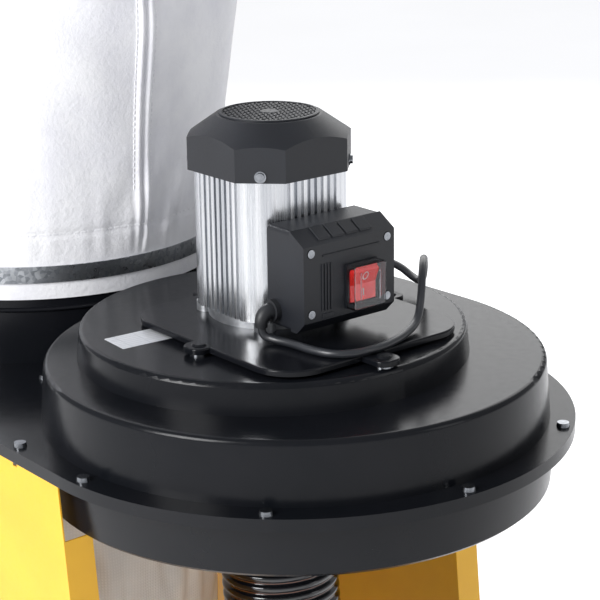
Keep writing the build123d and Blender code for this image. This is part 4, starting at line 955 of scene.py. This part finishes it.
@dataclass
class FilterBag:
    """The white felt bag above the collar."""

    columns: int = 400
    rows: int = 190
    seam_degrees: float = 0.0
    clamp_top: float = 0.016
    hem_line: float = 0.047
    # share of the cloth's height where the side ends and the shoulder begins
    shoulder: float = 0.82
    widest: float = 0.2115
    # the upright seam: two welts beside its line, in metres
    welt_offset: float = 0.0045
    welt_spread: float = 0.0030
    seam_gap: float = 0.0014
    # a row of stitches outside each welt, in radians from the seam, and each stitch in metres
    stitch_row: float = 0.047
    stitch_half_width: float = 0.0006
    # height above the dome's top and radius, in metres
    knots: tuple[tuple[float, float], ...] = (
        (-0.0165, 0.1856),
        (0.016, 0.1856),
        (0.045, 0.1885),
        (0.135, 0.1945),
        (0.237, 0.2085),
        (0.380, 0.2115),
        (0.660, 0.2095),
    )

    def surface(self, turn: Array, share: Array) -> Array:
        """Points of the cloth for angles and shares of its height.

        The radius follows the profile, then a quarter-ellipse shoulder closes over the top. Folds
        are added as sums of sines: fine puckers that fade above the strap, slanting pulls beside
        the seam, broad upright folds that grow with height, and two raised welts along the seam.
        """
        low, high = self.knots[0][0], self.knots[-1][0]
        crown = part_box("filter_bag")[1].z - DOME_TOP - 0.028
        side = np.clip(share / self.shoulder, 0, 1)
        over = np.clip((share - self.shoulder) / (1 - self.shoulder), 0, 1)
        lean = over * np.pi / 2
        height = low + (high - low) * side + (crown - high) * np.sin(lean)
        radius = profile_radius(low + (high - low) * side, self.knots) * np.cos(lean) ** 0.72
        free = np.clip((height - self.clamp_top) / 0.02, 0, 1)
        fade = np.exp(-np.clip(height - self.clamp_top, 0, None) / 0.034)
        pucker = (
            np.sin(47 * turn + 1.3 * np.sin(3 * turn))
            + 0.7 * np.sin(71 * turn + 2.1 * np.sin(5 * turn) + 0.6)
            + 0.5 * np.sin(23 * turn + 1.1)
        )
        lift = np.clip(height / 0.25, 0, 1) * np.cos(lean)
        fold = (
            0.9 * np.sin(7 * turn + 6.0 * height + 0.4)
            + 0.7 * np.sin(11 * turn - 9.0 * height + 1.9)
            + 0.6 * np.sin(4 * turn + 13.0 * height + 2.6)
            + 0.35 * np.sin(17 * turn + 31.0 * height) * np.sin(5 * turn - 22.0 * height)
        )
        crease = 0.5 * np.sin(46.0 * height + 5 * np.sin(2 * turn + 1.0)) * np.sin(9 * turn + 1.2)
        away = (turn - math.radians(self.seam_degrees) + np.pi) % (2 * np.pi) - np.pi
        across = away * 0.19
        right_welt = np.exp(-(((across - self.welt_offset) / self.welt_spread) ** 2))
        left_welt = np.exp(-(((across + self.welt_offset) / self.welt_spread) ** 2))
        gap = 0.5 * np.exp(-((across / self.seam_gap) ** 2))
        seam = (right_welt + left_welt - gap) * np.cos(lean)
        hem = np.exp(-(((height - self.hem_line) / 0.0025) ** 2))
        beside = np.exp(-(((away - 0.22) / 0.30) ** 2))
        calm = 0.30 + 0.9 * beside
        pull = np.sin(26.0 * (away - 2.6 * height)) * beside * np.exp(-(((height - 0.06) / 0.05) ** 2))
        change = free * (
            0.0016 * calm * pucker * fade + 0.0022 * pull + 0.0019 * fold * lift + 0.0011 * crease * lift
        )
        change += free * (0.0030 * seam - 0.0010 * hem)
        radius = radius + change * np.cos(lean)
        x = COLLAR.x + radius * np.cos(turn)
        y = COLLAR.y + radius * np.sin(turn)
        return np.stack([x, y, DOME_TOP + height + 0.002 * fold * np.sin(lean) * np.cos(lean)], axis=-1)

    def build(self) -> Piece:
        """The bag as one shell of cloth, with its threads and its loop."""
        even = np.linspace(-np.pi, np.pi, self.columns, endpoint=False)
        # columns crowd together at the seam: each angle is pulled towards it by part of its sine
        turn = math.radians(self.seam_degrees) + even - 0.75 * np.sin(even) * np.exp(-((even / 0.9) ** 2))
        near_hem = np.linspace(0, 0.2, 50, endpoint=False)
        share = np.concatenate([near_hem, np.linspace(0.2, 0.996, self.rows - len(near_hem))])
        ss, tt = np.meshgrid(share, turn, indexing="ij")
        points = self.surface(tt, ss)
        bag = grid_mesh("filter_bag_cloth", points, wrap_columns=True, close_ends=(False, True))
        dress(bag, Coating.felt_cloth)
        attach(bag, "machine")
        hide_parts("filter_bag")
        threads = [self.stitches(), self.loop()]
        return bag

    def stitches(self) -> Piece:
        """Stitches of the two upright rows and of the line above the hem, each a small bead that
        lies along the cloth's own surface."""
        shells: list[tuple[Array, Array]] = []
        seam = math.radians(self.seam_degrees)
        for side in (-self.stitch_row, self.stitch_row):
            heights = np.arange(0.12, 0.795, 0.0068)
            shells += [self.stitch(seam + side, a, seam + side, a + 0.0044) for a in heights]
        hem = self.shoulder * (self.hem_line - self.knots[0][0]) / (self.knots[-1][0] - self.knots[0][0])
        for start in np.arange(-math.pi, math.pi, 0.036):
            shells.append(self.stitch(start, hem, start + 0.024, hem))
        made = joined("filter_bag_stitches", shells)
        dress(made, Thread.white_thread)
        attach(made, "machine")
        return made

    def stitch(
        self, turn_a: float, share_a: float, turn_b: float, share_b: float
    ) -> tuple[Array, Array]:
        """One stitch between two places of the cloth: a narrow closed bead, half sunk in it."""
        ends = self.surface(np.array([turn_a, turn_b]), np.array([share_a, share_b]))
        outward = ends - np.array([COLLAR.x, COLLAR.y, 0.0])
        outward[:, 2] = 0.0
        outward /= np.linalg.norm(outward, axis=1, keepdims=True)
        run = ends[1] - ends[0]
        across = np.cross(outward[0], run / np.linalg.norm(run))
        half = np.stack([run * 0.5, across * self.stitch_half_width, outward[0] * self.stitch_half_width])
        points, faces = block((-1, -1, -1), (1, 1, 1))
        return ends.mean(axis=0) + points @ half, faces

    def loop(self) -> Piece:
        """The webbing loop sewn to the bag's crown, which hangs on the support rod.

        Its middle line is a hairpin: up, half round the rod, and down, and the band is that line
        carried across its width.
        """
        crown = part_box("filter_bag")[1].z
        rod = crown - 0.0145
        bottom = crown - 0.034
        side = np.linspace(bottom, rod, 8)
        half = np.linspace(0, np.pi, 17)
        reach = 0.0052
        x = np.concatenate([np.full(8, reach), reach * np.cos(half), np.full(8, -reach)])
        z = np.concatenate([side, rod + 0.0085 * np.sin(half), side[::-1]])
        line = np.stack([COLLAR.x + x, np.full_like(x, COLLAR.y), z], axis=1)
        rows = [line + np.array([0.0, w, 0.0]) for w in np.linspace(-0.0055, 0.0055, 5)]
        made = grid_mesh("filter_bag_loop", np.stack(rows, axis=0))
        thick = made.modifiers.new("webbing thickness", "SOLIDIFY")
        thick.thickness, thick.offset = 0.0012, 0.0
        dress(made, Coating.felt_cloth)
        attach(made, "machine")
        return made


@dataclass
class ChipBag:
    """The milky woven-film bag below the collar."""

    columns: int = 300
    rows: int = 150
    # shares of the film for the flat foot and for its rounded corner, whose radius is in metres
    foot_share: float = 0.16
    corner_share: float = 0.14
    corner_radius: float = 0.05
    side_low: float = 0.30
    # height above the floor and radius, from the foot upwards, in metres
    knots: tuple[tuple[float, float], ...] = (
        (0.30, 0.1745),
        (0.42, 0.1745),
        (0.57, 0.1790),
        (0.680, 0.1868),
        (0.7475, 0.1868),
    )

    def surface(self, turn: Array, share: Array) -> Array:
        """Points of the film for angles and shares of its height from the middle of its foot.

        The foot is a flat disc, a rounded corner leads to the side, and the side follows the
        profile. Sharp creases are sines raised to odd powers, strongest where the slack film
        gathers low down, and they fade out at the strap.
        """
        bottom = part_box("chip_bag")[0].z
        across = np.clip(share / self.foot_share, 0, 1)
        corner = np.clip((share - self.foot_share) / self.corner_share, 0, 1) * np.pi / 2
        side = np.clip((share - 0.30) / 0.70, 0, 1)
        foot = self.knots[0][1]
        flat = foot - self.corner_radius
        base = flat * across + self.corner_radius * np.sin(corner)
        height = bottom + (self.side_low - bottom) * (1 - np.cos(corner))
        height = height + (self.knots[-1][0] - self.side_low) * side
        level = profile_radius(np.maximum(height, self.side_low), self.knots)
        radius = base + (level - foot) * (side > 0)
        slack = np.sin(corner) * np.clip((0.70 - height) / 0.08, 0, 1)
        ridge = np.sin(13 * turn + 9.0 * height + 1.5 * np.sin(21.0 * height))
        cross = np.sin(5 * turn - 26.0 * height + 2.0)
        fine = np.sin(31 * turn + 40.0 * height + 3.0 * np.sin(4 * turn))
        radius = radius - slack * (0.0028 * np.abs(ridge) ** 3 + 0.0022 * cross**2 + 0.0010 * fine)
        x = COLLAR.x + radius * np.cos(turn)
        y = COLLAR.y + radius * np.sin(turn)
        return np.stack([x, y, height], axis=-1)

    def build(self) -> Piece:
        """The bag as one shell, with a map in metres for its weave."""
        turn = np.linspace(-np.pi, np.pi, self.columns, endpoint=False)
        share = np.linspace(0.004, 1, self.rows)
        ss, tt = np.meshgrid(share, turn, indexing="ij")
        points = self.surface(tt, ss)
        uv = np.stack([ss * 0.62, tt * 0.176], axis=-1)
        bag = grid_mesh("chip_bag_film", points, wrap_columns=True, close_ends=(True, False), uv=uv)
        dress(bag, Coating.woven_film)
        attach(bag, "machine")
        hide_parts("chip_bag")
        return bag


# ------------------------------------------------------------------ switch and small trim
@dataclass
class SwitchTrim:
    """Moulded relief of the cowl and the switch box, and the marks on the rocker.

    All lengths are in metres.
    """

    grille_reach: float = 0.0405
    grille_pitch: float = 0.0058
    grille_degrees: float = 20.0
    bar_half_width: float = 0.0009
    rocker_degrees: float = 11.0
    mark_radius: float = 0.0034
    mark_half_width: float = 0.0005
    mark_height: float = 0.00025
    ridge_offset: float = 0.0105

    def grille(self) -> Piece:
        """Crossed bars moulded on the cowl's round top, with a plain disc in their middle.

        Each bar is a thin block, as long as the chord of the circle at its distance from the
        middle. One set is turned by the grille's angle, and the other lies square to it.
        """
        low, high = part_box("fan_cowl")
        middle = Vector(((low.x + high.x) / 2, (low.y + high.y) / 2, high.z))
        shells = []
        for degrees in (self.grille_degrees, self.grille_degrees + 90.0):
            angle = math.radians(degrees)
            along = np.array([math.cos(angle), math.sin(angle), 0.0])
            across = np.array([-math.sin(angle), math.cos(angle), 0.0])
            axes = np.stack([along, across, np.array([0.0, 0.0, 1.0])])
            for offset in np.arange(-6, 7) * self.grille_pitch:
                half = math.sqrt(self.grille_reach**2 - offset**2)
                wide = self.bar_half_width
                points, faces = block((-half, offset - wide, -0.0004), (half, offset + wide, 0.0011))
                shells.append((points @ axes + np.array(middle), faces))
        turn = np.linspace(0, 2 * np.pi, 64, endpoint=False)
        # inner radius, outer radius and top of the rim and of the disc
        for inner, outer, top in ((self.grille_reach, 0.0432, 0.0016), (0.0002, 0.0085, 0.0014)):
            bottom = -0.0004
            section = (
                (inner, bottom), (outer, bottom), (outer, top * 0.7), (outer - 0.0008, top), (inner, top)
            )
            rings = [
                np.stack([r * np.cos(turn), r * np.sin(turn), np.full_like(turn, z)], axis=-1)
                for r, z in section
            ]
            points = (np.stack(rings) + np.array(middle)).reshape(-1, 3)
            shells.append((points, grid_faces(len(section), len(turn), True, True)[:, ::-1]))
        made = joined("cowl_grille", shells)
        dress(made, Coating.black_plastic)
        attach(made, "machine")
        return made

    def marks(self) -> Piece:
        """A ring on the upper half of the rocker and a bar on the lower one, as thin raised pads."""
        low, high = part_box("switch_rocker")
        centre_y, centre_z = (low.y + high.y) / 2, (low.z + high.z) / 2
        half = (high.z - low.z) / 2
        face = 0.0042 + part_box("switch_box_lid")[1].x - 0.002
        tilt = 2 * math.tan(math.radians(self.rocker_degrees))
        turn = np.linspace(0, 2 * np.pi, 40, endpoint=False)
        wide, thin = self.mark_half_width, self.mark_height
        section = [(-wide, 0.0), (-wide, thin), (wide, thin), (wide, 0.0)]
        rings = []
        for spread, thick in section:
            radius = self.mark_radius + spread
            z = half * 0.52 + radius * np.sin(turn)
            x = face + tilt * z + thick
            rings.append(np.stack([x, centre_y + 0.8 * radius * np.cos(turn), centre_z + z], axis=-1))
        points = np.stack(rings, axis=0)
        quads = grid_faces(len(section), len(turn), True, True)
        bar = block(
            (face - 0.0001, centre_y - 0.0006, centre_z - half * 0.72),
            (face + thin, centre_y + 0.0006, centre_z - half * 0.28),
        )
        made = joined("rocker_marks", [(points.reshape(-1, 3), quads), bar])
        dress(made, Thread.white_ink)
        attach(made, "rocker")
        return made

    def relief(self) -> Piece:
        """Raised mouldings on the lid: four pads on its sloping top, a lip across its face, upright
        ribs beside the switch and a small plate in the lower corner."""
        low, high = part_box("switch_box_lid")
        front = high.x
        width = high.y - low.y
        shells = []
        # pads on the sloping top
        for k in range(4):
            y0 = low.y + width * (0.20 + 0.152 * k)
            y1 = y0 + width * 0.128
            pad, faces = block((low.x + 0.0015, y0, high.z - 0.012), (front - 0.004, y1, high.z - 0.004))
            slope = (pad[:, 0] - low.x) / (front - low.x) * 0.011
            top = pad[:, 2] > high.z - 0.006
            pad[:, 2] = np.where(top, high.z - slope + 0.0014, high.z - slope - 0.001)
            shells.append((pad, faces))
        # lip across the face
        z = high.z - 0.0215
        lip_end = (front + 0.0009, high.y - 0.017, z + 0.0016)
        shells.append(block((front - 0.001, low.y + 0.020, z), lip_end))
        # upright ribs beside the switch
        for k in range(4):
            y = low.y + 0.0185 + 0.0032 * k
            head = (front + 0.0010, y + 0.0014, z - 0.006)
            shells.append(block((front - 0.001, y, low.z + 0.018), head))
        # small plate in the lower corner
        corner = (front + 0.0008, low.y + 0.031, low.z + 0.0155)
        shells.append(block((front - 0.001, low.y + 0.019, low.z + 0.0115), corner))
        made = joined("lid_relief", shells)
        bevelled(made, 0.0004)
        dress(made, Coating.black_plastic)
        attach(made, "machine")
        return made

    def cover_ridges(self) -> Piece:
        """Soft upright ridges in the clear cover, where it was folded to fit over the rocker."""
        low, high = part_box("switch_clear_cover")
        middle = (low.y + high.y) / 2
        shells = []
        for offset in (-self.ridge_offset, self.ridge_offset):
            y = middle + offset
            foot = (high.x - 0.0006, y - 0.0007, low.z + 0.006)
            shells.append(block(foot, (high.x + 0.0006, y + 0.0007, high.z - 0.006)))
        made = joined("cover_ridges", shells)
        bevelled(made, 0.0005, 3)
        dress(made, Coating.clear_plastic)
        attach(made, "machine")
        return made


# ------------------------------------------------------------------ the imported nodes
def dress_nodes() -> None:
    """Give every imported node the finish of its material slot."""
    slots = {part["node"]: part["material_slot"] for part in frame["record"]["subparts"]}
    for name, node in frame["nodes"].items():
        choice = Coating[slots[name]]
        if not node.material_slots:
            node.data.materials.append(None)
        for held in node.material_slots:
            held.material = material(choice)
    LOG.info("dressed %d packed nodes", len(frame["nodes"]))


def main() -> None:
    """Build the studio, the cords, the bags and the trim in order."""
    logging.basicConfig(level=logging.INFO, format="%(name)s: %(message)s")
    studio = Studio()
    studio.camera()
    lead = MainsLead()
    lead.build()
    lead.tie()
    SuctionHose().build()
    FilterBag().build()
    ChipBag().build()
    trim = SwitchTrim()
    trim.grille()
    trim.marks()
    trim.relief()
    trim.cover_ridges()
    dress_nodes()
    studio.floor()
    studio.light()


if __name__ == "__main__":
    main()
